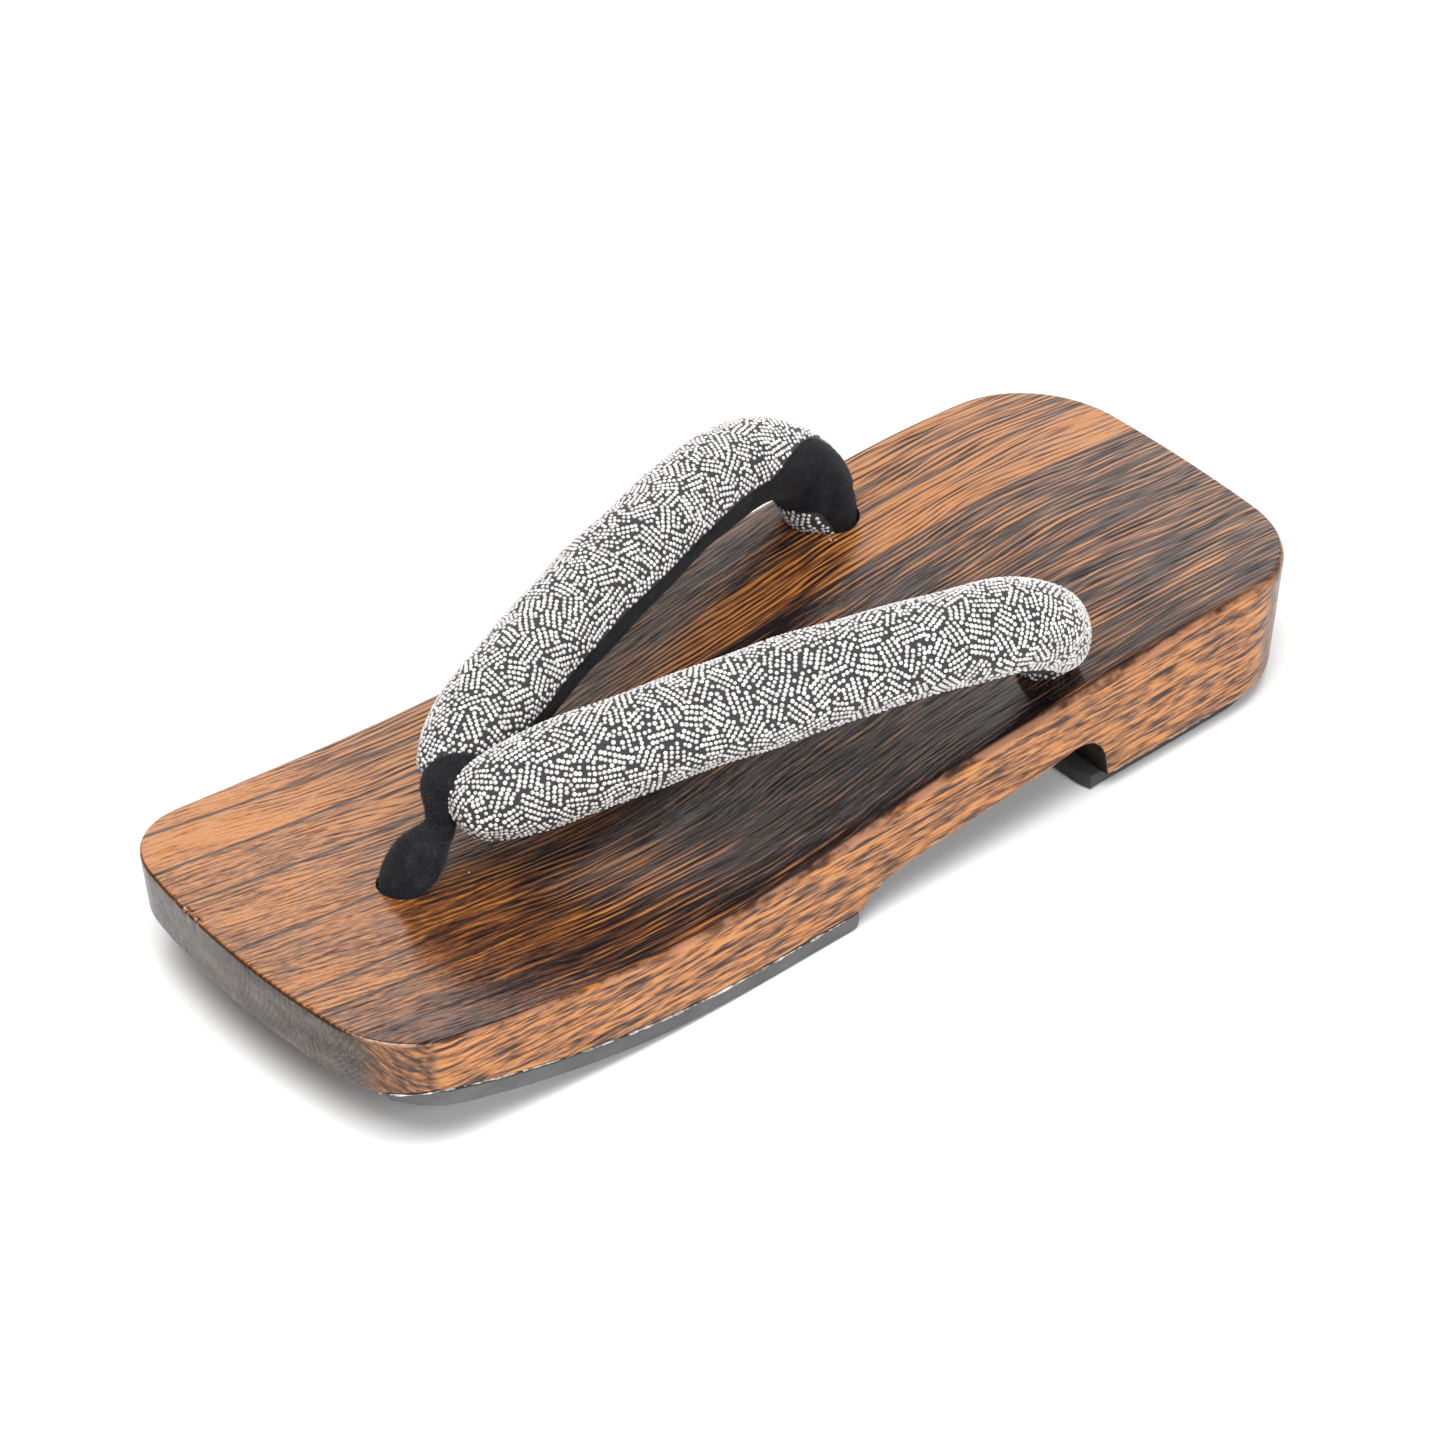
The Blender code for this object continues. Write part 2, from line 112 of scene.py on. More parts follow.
RIGHT_STRAP = (
    (5.1, -72.9, 38.6, 0.7, 0.7), (5.2, -72.4, 38.7, 2.4, 2.4),
    (5.4, -71.6, 39.0, 4.6, 4.4), (6.1, -69.2, 39.9, 6.8, 6.6),
    (8.2, -63.4, 41.4, 9.1, 8.8), (13.9, -49.0, 44.4, 10.3, 10.1),
    (22.9, -22.6, 47.7, 10.3, 9.9), (30.4, 1.6, 49.4, 10.4, 9.8),
    (36.6, 22.8, 49.9, 10.2, 9.4), (39.3, 37.2, 48.2, 9.7, 9.0),
    (39.3, 46.6, 44.2, 9.2, 8.4), (37.2, 51.8, 38.4, 8.8, 8.4),
    (35.2, 53.0, 33.4, 8.0, 8.2), (33.8, 54.4, 30.2, 6.4, 6.6),
    (33.0, 55.2, 26.4, 4.8, 4.8), (33.0, 55.2, 17.5, 4.8, 4.8),
)
STRAP_RINGS = 190
CLOTH_SIDES = 44
VELVET_SIDES = 26
CLOTH, VELVET = 0, 1

# Pile of the velvet: how many fibres, and how long
LINING_PILE = (30000, 0.4)
THONG_PILE = (16000, 0.55)
FIBRE_HALF_WIDTH = 0.035
RIB_PITCH = 1.05

# Glue beads: how thick they are, and the sides of their section
FRONT_GLUE = 0.36
HEEL_GLUE = 0.24
BEAD_SIDES = 6

# Dotted cloth: dots stand in rows, rows in patches, and filler dots take the gaps left between
DOT_RADIUS = 0.465
DOT_HEIGHT = 0.26
DOT_SIDES = 8
DOT_PITCH = 0.95
ROW_PITCH = 1.22
PATCH_SPACING = 5.0
PATCH_REACH = 5.8
DOT_SPACING = 0.89
ROW_ROOM = 0.94
FILLER_ROOM = 1.07
DOT_JITTER = 0.05
PATCH_TRIES = 5200
FILLER_TRIES = 12000

# Toe thong stations from the hole up to the join, laid out like the straps'
THONG_STATIONS = (
    (0.0, -86.0, 14.0, 4.4, 4.4), (0.0, -86.0, 21.0, 4.4, 4.4),
    (0.1, -85.4, 25.0, 5.4, 4.3), (0.3, -82.6, 28.6, 6.3, 3.9),
    (0.4, -79.0, 31.6, 5.0, 3.3), (0.4, -76.0, 34.2, 3.1, 2.8),
    (-0.4, -75.3, 37.6, 3.9, 2.4), (-1.0, -75.0, 41.0, 4.7, 2.2),
    (-1.2, -73.4, 43.9, 4.9, 2.0), (-0.8, -70.2, 45.2, 4.0, 1.9),
    (-0.3, -66.8, 44.8, 2.6, 1.8), (0.0, -64.2, 42.6, 2.0, 1.8),
)
THONG_RINGS = 150
THONG_SIDES = 36

# Growth lines of the wood: spacing, how far they bend, and how faint and strong they get
LINE_PITCH = 1.3
LINE_BEND = 1.5
LINE_STRENGTHS = (0.08, 0.38)

# Where the wood's pattern changes, from y to y, and up to what height the arch's recess gets painted shade
TOE_CURLS = (-100.0, -55.0)
CHAR_CHANGE = (-112.0, -42.0)
BURN_START, BURN_END = (-50.0, -20.0), (36.0, 62.0)
ARCH_SHADE_START, ARCH_SHADE_END = (42.0, 52.0), (63.0, 66.0)
ARCH_SHADE_TOP = (15.8, 17.5)

# Half widths of the seams between strips: dark, and faded out
SEAM_WIDTHS = (0.16, 0.66)
SEAM_SOFTNESS = 0.12

# Wood strips glued side by side: seam x at the toe and at the heel
SEAMS = (
    (-40.4, -33.0), (-28.5, -28.8),
    (-17.2, -14.4), (0.6, -5.1),
    (18.9, 8.0), (25.6, 23.9),
    (36.5, 36.0),
)
# For each strip: char at the toe, char at the heel, grain shift
STRIPS = (
    (0.22, 0.43, 0.13), (0.18, 0.40, 0.71),
    (0.42, 0.24, 0.37), (0.38, 0.72, 0.92),
    (0.40, 0.80, 0.24), (0.44, 0.77, 0.58),
    (0.54, 0.80, 0.05), (0.76, 0.86, 0.49),
)


# ---- numbers


def smoothstep(low, high, value):
    """0 below low, 1 above high, and a smooth climb between."""
    part = min(max((value - low) / (high - low), 0.0), 1.0)
    return part * part * (3.0 - 2.0 * part)


def natural_spline(low, high, values):
    """A natural cubic spline through evenly spaced values."""
    count = len(values)
    step = (high - low) / (count - 1)
    upper = [0.0] * count
    second = [0.0] * count
    for i in range(1, count - 1):
        bend = 6.0 * (values[i + 1] - 2.0 * values[i] + values[i - 1]) / step**2
        pivot = 4.0 - upper[i - 1]
        upper[i] = 1.0 / pivot
        second[i] = (bend - second[i - 1]) / pivot
    for i in range(count - 2, 0, -1):
        second[i] -= upper[i] * second[i + 1]

    def value(at):
        i = min(max(int((at - low) / step), 0), count - 2)
        b = (at - low) / step - i
        a = 1.0 - b
        curve = (a**3 - a) * second[i] + (b**3 - b) * second[i + 1]
        return a * values[i] + b * values[i + 1] + curve * step**2 / 6.0

    return value


side_half_width = natural_spline(-HALF_LENGTH, HALF_LENGTH, SIDE_HALF_WIDTHS)
top_height = natural_spline(-HALF_LENGTH, HALF_LENGTH, TOP_HEIGHTS)
rim_radius = natural_spline(-HALF_LENGTH, HALF_LENGTH, RIM_RADII)


def rocker(y):
    """Height of the walking contact under the forefoot."""
    if y >= ROCKER_START:
        return 0.0
    return (y - ROCKER_START) ** 2 / (2.0 * ROCKER_RADIUS)


def underside(y):
    """Height of the wood's underside."""
    if y <= FRONT_RUBBER_REAR:
        return min(rocker(y) + RUBBER_THICKNESS, TOE_BOTTOM)
    for (y0, z0), (y1, z1) in zip(UNDERSIDE, UNDERSIDE[1:]):
        if y <= y1:
            return z0 + (z1 - z0) * (y - y0) / (y1 - y0)
    return RUBBER_THICKNESS


def lean(z):
    """How much the ends are drawn in at a height."""
    return (HALF_LENGTH - END_LEAN * (TOP_HEIGHTS[0] - z)) / HALF_LENGTH


def spread(start, stop, steps):
    """Evenly spaced values, both ends included."""
    return [start + (stop - start) * i / steps for i in range(steps + 1)]


# ---- meshes


def linked(name, data):
    """A new object in the scene, holding a mesh, light or camera."""
    thing = bpy.data.objects.new(name, data)
    bpy.context.scene.collection.objects.link(thing)
    return thing


def side_name(stem, side):
    """A piece's name with the side it is on: 1 is left, -1 right."""
    return f"{stem}_left_side" if side > 0.0 else f"{stem}_right_side"


def new_piece(name, points, faces, materials, crease=HARD_CREASE, indices=None):
    """A smooth mesh piece from points in millimetres, riding on the sandal's one body."""
    mesh = bpy.data.meshes.new(name)
    mesh.from_pydata([tuple(value * MM for value in point) for point in points], [], faces)
    for shader in materials:
        mesh.materials.append(shader)
    if indices is not None:
        mesh.polygons.foreach_set("material_index", indices)
    mesh.shade_smooth()
    mesh.set_sharp_from_angle(angle=crease)
    mesh.update()
    piece = linked(name, mesh)
    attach(piece, ROOT)
    return piece


def corner_arc(end_sign, sagitta, radius, steps):
    """The rounded corner between one side and one end, from the side round to the end."""
    centre_x = END_HALF_WIDTH - radius
    centre_y = HALF_LENGTH - sagitta - radius
    probe = 0.5
    side_angle = end_angle = 0.0
    for _ in range(20):
        at = centre_y + radius * math.sin(side_angle)
        rise = side_half_width(end_sign * (at + probe)) - side_half_width(end_sign * (at - probe))
        side_angle = math.atan2(-rise, 2.0 * probe)
        centre_x = side_half_width(end_sign * at) - radius * math.cos(side_angle)
        touch_x = centre_x + radius * math.sin(end_angle)
        end_angle = math.atan(2.0 * sagitta * touch_x / END_HALF_WIDTH**2)
        touch_y = HALF_LENGTH - sagitta * (touch_x / END_HALF_WIDTH) ** 2
        centre_y = touch_y - radius * math.cos(end_angle)
    arc = []
    for angle in spread(side_angle, math.pi / 2.0 - end_angle, steps):
        arc.append((centre_x + radius * math.cos(angle), end_sign * (centre_y + radius * math.sin(angle))))
    return arc


def end_curve(end_sign, sagitta, reach, steps):
    """Half of one bowed end, from the corner in to the middle line."""
    points = []
    for i in range(1, steps + 1):
        x = reach * (1.0 - i / steps)
        points.append((x, end_sign * (HALF_LENGTH - sagitta * (x / END_HALF_WIDTH) ** 2)))
    return points


def half_outline():
    """The deck's right half in plan, from the middle of the toe to the middle of the heel."""
    toe_arc = corner_arc(-1.0, TOE_SAGITTA, TOE_CORNER_RADIUS, 24)
    heel_arc = corner_arc(1.0, HEEL_SAGITTA, HEEL_CORNER_RADIUS, 24)
    toe_end = end_curve(-1.0, TOE_SAGITTA, toe_arc[-1][0], 64)
    heel_end = end_curve(1.0, HEEL_SAGITTA, heel_arc[-1][0], 14)
    low, high = toe_arc[0][1], heel_arc[0][1]
    stations = set(spread(low, high, 110)[1:-1])
    for y, z in UNDERSIDE[:-1]:
        stations.add(y / lean(z))
    side = [(side_half_width(y), y) for y in sorted(stations)]
    return toe_end[::-1] + toe_arc[::-1] + side + heel_arc + heel_end


def inward_normals(half):
    """Unit normals pointing into the shape, for each point of a right half outline."""
    mirrored = [(-half[1][0], half[1][1])] + half + [(-half[-2][0], half[-2][1])]
    normals = []
    for before, after in zip(mirrored, mirrored[2:]):
        run = (after[0] - before[0], after[1] - before[1])
        size = math.hypot(*run)
        normals.append((-run[1] / size, run[0] / size))
    return normals


def slab(half, top, bottom, top_radius, bottom_radius, columns, walls):
    """A closed slab: an outline mirrored about x=0, a top and an underside that vary along y,
    and rounded edges. Returns points and faces."""
    normals = inward_normals(half)
    rings = []
    for angle in spread(math.pi / 2.0, 0.0, EDGE_STEPS):
        rings.append(("top", 1.0 - math.cos(angle), 1.0 - math.sin(angle), 0.0))
    for part in spread(0.0, 1.0, walls)[1:-1]:
        rings.append(("wall", 0.0, 0.0, part))
    for angle in spread(0.0, math.pi / 2.0, EDGE_STEPS):
        rings.append(("bottom", 1.0 - math.cos(angle), 1.0 - math.sin(angle), 1.0))
    count = len(half)
    points, index = [], []
    for kind, inset, drop, part in rings:
        right, left = [], []
        for i, ((x, y), (nx, ny)) in enumerate(zip(half, normals)):
            r_top, r_low = top_radius(y), bottom_radius(y)
            pull = inset * (r_low if kind == "bottom" else r_top)
            px, py = max(x + nx * pull, 0.0), y + ny * pull
            z = top(py)
            for _ in range(6):
                at = py * lean(z)
                z_top, z_low = top(at), bottom(at)
                room = z_top - z_low
                r_t, r_b = min(r_top, room * 0.45), min(r_low, room * 0.45)
                if kind == "top":
                    z = z_top - r_t * drop
                elif kind == "bottom":
                    z = z_low + r_b * drop
                else:
                    z = (z_top - r_t) * (1.0 - part) + (z_low + r_b) * part
            at = py * lean(z)
            right.append(len(points))
            points.append((px, at, z))
            if i in (0, count - 1):
                left.append(right[-1])
            else:
                left.append(len(points))
                points.append((-px, at, z))
        index.append((right, left))
    faces = []
    for (r0, l0), (r1, l1) in zip(index, index[1:]):
        for i in range(count - 1):
            faces.append((r0[i], r1[i], r1[i + 1], r0[i + 1]))
            faces.append((l0[i], l0[i + 1], l1[i + 1], l1[i]))
    for (right, left), flip in ((index[0], False), (index[-1], True)):
        rows = []
        for i in range(count):
            if right[i] == left[i]:
                rows.append([right[i]] * (columns + 1))
                continue
            row = [left[i]]
            x, y, z = points[right[i]]
            for j in range(1, columns):
                row.append(len(points))
                points.append((x * (2.0 * j / columns - 1.0), y, z))
            rows.append(row + [right[i]])
        for low, high in zip(rows, rows[1:]):
            for j in range(columns):
                face = [low[j], low[j + 1], high[j + 1], high[j]]
                face = [v for n, v in enumerate(face) if v not in face[:n]]
                if len(face) > 2:
                    faces.append(tuple(face[::-1]) if flip else tuple(face))
    return points, faces


def spline_stations(stations, count):
    """Evenly spaced stations on a smooth run through the given ones."""
    runs = [0.0]
    for one, two in zip(stations, stations[1:]):
        runs.append(runs[-1] + math.dist(one[:3], two[:3]))
    slopes = []
    for i in range(len(stations)):
        before, after = max(i - 1, 0), min(i + 1, len(stations) - 1)
        span = runs[after] - runs[before]
        slopes.append([(b - a) / span for a, b in zip(stations[before], stations[after])])
    result = []
    for i in range(count):
        at = runs[-1] * i / (count - 1)
        k = min(sum(1 for run in runs[1:-1] if run <= at), len(stations) - 2)
        span = runs[k + 1] - runs[k]
        t = (at - runs[k]) / span
        h00, h10 = 2 * t**3 - 3 * t**2 + 1, t**3 - 2 * t**2 + t
        h01, h11 = -2 * t**3 + 3 * t**2, t**3 - t**2
        blended = []
        for p, q, m, n in zip(stations[k], stations[k + 1], slopes[k], slopes[k + 1]):
            blended.append(h00 * p + h10 * span * m + h01 * q + h11 * span * n)
        result.append(blended)
    return result


def frames_along(centres, start, side):
    """Outward and upward directions carried along a run of centres."""
    outward = Vector(start)
    result = []
    for i in range(len(centres)):
        along = (centres[min(i + 1, len(centres) - 1)] - centres[max(i - 1, 0)]).normalized()
        outward = (outward - along * outward.dot(along)).normalized()
        result.append((outward, side * outward.cross(along)))
    return result


# ---- materials


class Shader:
    """A node material with one Principled shader, and short calls to wire its nodes."""

    def __init__(self, name):
        self.material = bpy.data.materials.new(name)
        self.material.use_nodes = True
        self.tree = self.material.node_tree
        self.principled = self.tree.nodes["Principled BSDF"]

    def put(self, socket, value):
        """Set or wire one input."""
        if isinstance(value, bpy.types.NodeSocket):
            self.tree.links.new(value, socket)
        elif value is not None:
            socket.default_value = value

    def node(self, kind, inputs=(), **settings):
        """Add a node and fill its inputs in order or by name."""
        result = self.tree.nodes.new(kind)
        for key, value in settings.items():
            setattr(result, key, value)
        items = inputs.items() if isinstance(inputs, dict) else enumerate(inputs)
        for key, value in items:
            self.put(result.inputs[key], value)
        return result

    def set(self, name, value):
        """Set or wire one input of the Principled shader."""
        self.put(self.principled.inputs[name], value)

    def position(self):
        """Where the point is on the sandal, in millimetres."""
        place = self.node("ShaderNodeTexCoord").outputs["Object"]
        return self.node("ShaderNodeVectorMath", (place, (1000.0,) * 3), operation="MULTIPLY").outputs[0]

    def normal(self):
        """The surface's direction, as x, y and z."""
        direction = self.node("ShaderNodeNewGeometry").outputs["Normal"]
        return self.split(direction)

    def split(self, vector):
        """A vector's three parts."""
        return self.node("ShaderNodeSeparateXYZ", (vector,)).outputs

    def join(self, x, y, z):
        """A vector from three parts."""
        return self.node("ShaderNodeCombineXYZ", (x, y, z)).outputs[0]

    def math(self, operation, *values):
        """A Math node's result."""
        return self.node("ShaderNodeMath", values, operation=operation).outputs[0]

    def times(self, one, two):
        """A product."""
        return self.math("MULTIPLY", one, two)

    def madd(self, one, two, more):
        """A product and a sum: one * two + more."""
        return self.math("MULTIPLY_ADD", one, two, more)

    def step(self, value, low, high, out_low=0.0, out_high=1.0):
        """A smooth climb from out_low to out_high as value goes from low to high."""
        settings = {"Value": value, "From Min": low, "From Max": high, "To Min": out_low, "To Max": out_high}
        return self.node("ShaderNodeMapRange", settings, interpolation_type="SMOOTHSTEP").outputs[0]

    def noise(self, vector, sizes, detail=2.0, roughness=0.5):
        """Smooth noise about 0.5, with its waves stretched to sizes in millimetres."""
        scales = tuple(1.0 / size for size in sizes)
        stretched = self.node("ShaderNodeVectorMath", (vector, scales), operation="MULTIPLY").outputs[0]
        settings = {"Vector": stretched, "Scale": 1.0, "Detail": detail, "Roughness": roughness}
        return self.node("ShaderNodeTexNoise", settings).outputs["Fac"]

    def centred(self, value):
        """Noise moved to lie about 0."""
        return self.math("SUBTRACT", value, 0.5)

    def waves(self, *settings):
        """Smooth noise about 0."""
        return self.centred(self.noise(*settings))

    def ramp(self, factor, *stops):
        """A colour ramp through (place, colour) stops."""
        node = self.node("ShaderNodeValToRGB", (factor,))
        elements = node.color_ramp.elements
        while len(elements) < len(stops):
            elements.new(1.0)
        for element, (place, colour) in zip(elements, stops):
            element.position = place
            element.color = (*colour, 1.0)
        return node.outputs[0]

    def mix(self, factor, one, two):
        """Two colours mixed."""
        node = self.node("ShaderNodeMix", data_type="RGBA")
        for place, value in ((0, factor), (6, one), (7, two)):
            if isinstance(value, tuple):
                value = (*value, 1.0)
            self.put(node.inputs[place], value)
        return node.outputs[2]

    def bump(self, height, strength, distance):
        """Relief from a height in millimetres."""
        settings = {"Height": height, "Strength": strength, "Distance": distance * MM}
        return self.node("ShaderNodeBump", settings).outputs[0]


def strip_values(s, x, y):
    """Each strip's char and grain shift, and the dark seams between strips."""
    strip = STRIPS[0]
    seams = 0.0
    along = s.math("DIVIDE", s.math("ADD", y, HALF_LENGTH), 2.0 * HALF_LENGTH)
    for (toe_x, heel_x), following in zip(SEAMS, STRIPS[1:]):
        seam_x = s.madd(along, heel_x - toe_x, toe_x)
        offset = s.math("SUBTRACT", x, seam_x)
        strip = s.mix(s.step(offset, -SEAM_SOFTNESS, SEAM_SOFTNESS), strip, following)
        seams = s.math("MAXIMUM", seams, s.step(s.math("ABSOLUTE", offset), *SEAM_WIDTHS, 1.0, 0.0))
    toe_char, heel_char, shift = s.node("ShaderNodeSeparateColor", (strip,)).outputs
    strip_char = s.node("ShaderNodeMix", (s.step(y, *CHAR_CHANGE), None, toe_char, heel_char)).outputs[0]
    return strip_char, shift, seams


def wood_grain(s, grain_place, across, at_toe):
    """Growth lines, the long fibres between them, and short curled fibres towards the toe."""
    bend = s.noise(grain_place, (5.0, 32.0, 6.0), 2.0)
    turns = s.math("ADD", s.math("DIVIDE", across, LINE_PITCH), s.times(bend, LINE_BEND))
    lines = s.math("SINE", s.times(turns, 2.0 * math.pi))
    strength = s.step(s.noise(grain_place, (3.0, 18.0, 4.0), 1.0), 0.3, 0.7, *LINE_STRENGTHS)
    fibres = s.waves(grain_place, (0.32, 17.0, 1.3), 3.0, 0.6)
    bands = s.waves(grain_place, (1.0, 34.0, 3.0), 2.0, 0.5)
    curls = s.waves(grain_place, (0.50, 2.7, 1.3), 3.0, 0.6)
    grain = s.times(lines, strength)
    grain = s.times(grain, s.madd(at_toe, -0.6, 1.0))
    # What each part gives: its change at the toe, then its weight elsewhere
    for part, change, weight in ((fibres, -0.6, 1.7), (bands, -0.6, 0.9), (curls, 0.85, 0.10)):
        grain = s.madd(part, s.madd(at_toe, change, weight), grain)
    grain = s.madd(grain, s.madd(at_toe, -0.35, 1.45), 0.5)
    return grain, lines, fibres, curls


def wood_burn(s, grain_place, y, at_toe, strip_char):
    """Char: by strip, darker between the straps, in soft clouds and plates."""
    clouds = s.waves(grain_place, (8.0, 34.0, 9.0), 2.0)
    plates = s.waves(grain_place, (2.2, 14.0, 5.0), 1.0)
    middle = s.times(s.step(y, *BURN_START), s.step(y, *BURN_END, 1.0, 0.0))
    burn = s.madd(middle, 0.34, strip_char)
    burn = s.madd(clouds, 0.60, burn)
    return s.madd(plates, s.madd(at_toe, -0.35, 0.55), burn)


def wood_wall(s, x, y, z, ny, shifted, wander):
    """The walls: brushed lighter, with soft flecks, and slanting streaks round the corners."""
    wall_height = s.madd(wander, 0.08, z)
    wall_place = s.join(s.times(x, 0.3), shifted, wall_height)
    flecks = s.waves(wall_place, (2.0, 7.5, 0.72), 3.0, 0.6)
    rays = s.waves(wall_place, (2.0, 30.0, 1.1), 2.0, 0.5)
    wall_light = s.madd(flecks, 3.4, 0.52)
    wall_light = s.madd(rays, 1.6, wall_light)
    wall_colour = s.ramp(
        wall_light,
        (0.04, (0.042, 0.023, 0.017)),
        (0.36, (0.165, 0.078, 0.044)),
        (0.60, (0.340, 0.136, 0.048)),
        (0.90, (0.530, 0.225, 0.076)),
    )
    slant = s.join(s.madd(z, 0.8, x), y, z)
    streaks = s.waves(slant, (0.7, 2.2, 9.0), 3.0, 0.6)
    streak_colour = s.ramp(
        s.madd(streaks, 3.0, 0.45),
        (0.1, (0.055, 0.032, 0.024)),
        (0.5, (0.185, 0.085, 0.042)),
        (0.9, (0.400, 0.170, 0.065)),
    )
    return s.mix(s.step(s.math("ABSOLUTE", ny), 0.22, 0.42), wall_colour, streak_colour)


def end_grain(s, x, z, place, shift, seams):
    """End grain at toe and heel: grey brown, with fine speckle and faint rings."""
    ring_tilt = s.times(s.math("SUBTRACT", shift, 0.5), 2.2)
    ring_place = s.madd(z, ring_tilt, x)
    bow = s.times(s.math("POWER", s.math("SUBTRACT", z, 20.0), 2.0), 0.035)
    rings = s.math("SINE", s.times(s.math("ADD", ring_place, bow), 4.2))
    speckle = s.noise(place, (0.35,) * 3, 2.0, 0.7)
    broad = s.noise(place, (9.0, 9.0, 5.0), 2.0)
    end_light = s.madd(rings, 0.05, s.madd(s.centred(speckle), 1.1, 0.27))
    end_light = s.madd(s.centred(broad), 0.9, s.math("ADD", end_light, 0.25))
    end_colour = s.ramp(
        end_light,
        (0.28, (0.018, 0.014, 0.012)),
        (0.50, (0.055, 0.042, 0.035)),
        (0.74, (0.140, 0.105, 0.085)),
    )
    return s.mix(s.times(seams, 0.3), end_colour, (0.13, 0.095, 0.07))


def wood_edges(s, y, z, place, normal, colour):
    """Painted shade in the arch's recess, the burnt toe edge, and side edges rubbed pale here and there."""
    nx, ny, nz = normal
    # Painted shade: the recess under the arch, in front of the heel block, is darkened towards near black
    arch_shade = s.times(s.step(y, *ARCH_SHADE_START), s.step(y, *ARCH_SHADE_END, 1.0, 0.0))
    arch_shade = s.times(arch_shade, s.step(s.math("ABSOLUTE", nx), 0.3, 0.6, 1.0, 0.0))
    arch_shade = s.times(arch_shade, s.step(z, *ARCH_SHADE_TOP, 1.0, 0.0))
    colour = s.mix(s.times(arch_shade, 0.85), colour, (0.012, 0.009, 0.008))
    edge = s.times(s.step(nz, 0.12, 0.4), s.step(nz, 0.80, 0.97, 1.0, 0.0))
    toe_edge = s.times(edge, s.step(ny, -0.45, -0.2, 1.0, 0.0))
    colour = s.mix(s.times(toe_edge, 0.85), colour, (0.022, 0.010, 0.006))
    worn = s.step(s.noise(place, (5.0, 9.0, 5.0), 3.0, 0.6), 0.40, 0.60, 0.1, 0.7)
    side_edge = s.times(edge, s.step(s.math("ABSOLUTE", nx), 0.15, 0.4))
    return s.mix(s.times(side_edge, worn), colour, (0.38, 0.185, 0.105))


def wood_material():
    """Laminated, burnt and brushed wood under a satin varnish."""
    s = Shader("burnt_wood")
    place = s.position()
    x, y, z = s.split(place)
    normal = s.normal()
    _, ny, nz = normal
    strip_char, shift, seams = strip_values(s, x, y)

    # Grain coordinates: each strip has its own shift, and the lines wander
    slow = s.noise(place, (18.0, 58.0, 18.0), 1.0)
    quick = s.noise(place, (5.0, 22.0, 5.0), 2.0)
    wander = s.madd(slow, 6.0, s.times(quick, 1.5))
    across = s.math("ADD", s.madd(z, 0.55, x), wander)
    deep = s.madd(x, -0.35, z)
    shifted = s.madd(shift, 173.0, y)
    grain_place = s.join(across, shifted, deep)

    at_toe = s.step(y, *TOE_CURLS, 1.0, 0.0)
    grain, lines, fibres, curls = wood_grain(s, grain_place, across, at_toe)
    burn = wood_burn(s, grain_place, y, at_toe, strip_char)
    light = s.step(s.math("SUBTRACT", grain, burn), -0.58, 0.43)
    top_colour = s.ramp(
        light,
        (0.0, (0.007, 0.004, 0.004)),
        (0.16, (0.034, 0.014, 0.009)),
        (0.44, (0.092, 0.034, 0.014)),
        (0.74, (0.185, 0.064, 0.017)),
        (1.0, (0.375, 0.140, 0.028)),
    )
    top_colour = s.mix(s.times(seams, 0.9), top_colour, (0.018, 0.009, 0.006))

    wall = s.step(s.math("ABSOLUTE", nz), 0.3, 0.75, 1.0, 0.0)
    colour = s.mix(wall, top_colour, wood_wall(s, x, y, z, ny, shifted, wander))
    end = s.times(s.step(s.math("ABSOLUTE", ny), 0.78, 0.93), wall)
    colour = s.mix(end, colour, end_grain(s, x, z, place, shift, seams))
    s.set("Base Color", wood_edges(s, y, z, place, normal, colour))

    relief = s.madd(grain, 0.55, s.times(curls, 0.15))
    relief = s.math("SUBTRACT", relief, s.times(seams, 0.3))
    s.set("Normal", s.bump(relief, 0.5, 0.16))
    s.set("Coat Normal", s.bump(relief, 0.38, 0.12))
    s.set("Roughness", s.step(light, 0.0, 1.0, 0.52, 0.40))
    # The varnish has sunk into the brushed grooves, which stay dull and dark
    grooves = s.madd(lines, 0.025, fibres)
    varnish = s.step(grooves, -0.10, -0.03, 0.25, 1.0)
    s.set("Coat Weight", s.times(varnish, s.step(wall, 0.0, 1.0, 1.0, 0.45)))
    s.set("Specular IOR Level", 0.06)
    s.set("Coat Roughness", 0.09)
    s.set("Coat IOR", 1.5)
    return s.material


def rubber_material():
    """Charcoal crepe rubber, dusty and slightly pitted; the heel's sole is the darker of the two."""
    s = Shader("sole_rubber")
    place = s.position()
    _, y, _ = s.split(place)
    dust = s.noise(place, (14.0, 14.0, 6.0), 3.0, 0.6)
    pits = s.noise(place, (0.45,) * 3, 2.0, 0.6)
    colour = s.ramp(
        s.madd(dust, 0.7, s.times(pits, 0.35)),
        (0.3, (0.055, 0.055, 0.058)),
        (0.5, (0.085, 0.085, 0.088)),
        (0.75, (0.125, 0.125, 0.127)),
    )
    s.set("Base Color", s.mix(s.step(y, 30.0, 40.0, 0.0, 0.7), colour, (0.010, 0.010, 0.011)))
    s.set("Roughness", s.step(pits, 0.3, 0.7, 0.62, 0.82))
    s.set("Normal", s.bump(pits, 0.5, 0.12))
    return s.material


def mottled(name, sizes, detail, octave_weight, *stops):
    """A material with its colour from one noise. Returns its shader and the noise."""
    s = Shader(name)
    tone = s.noise(s.position(), sizes, detail, octave_weight)
    s.set("Base Color", s.ramp(tone, *stops))
    return s, tone


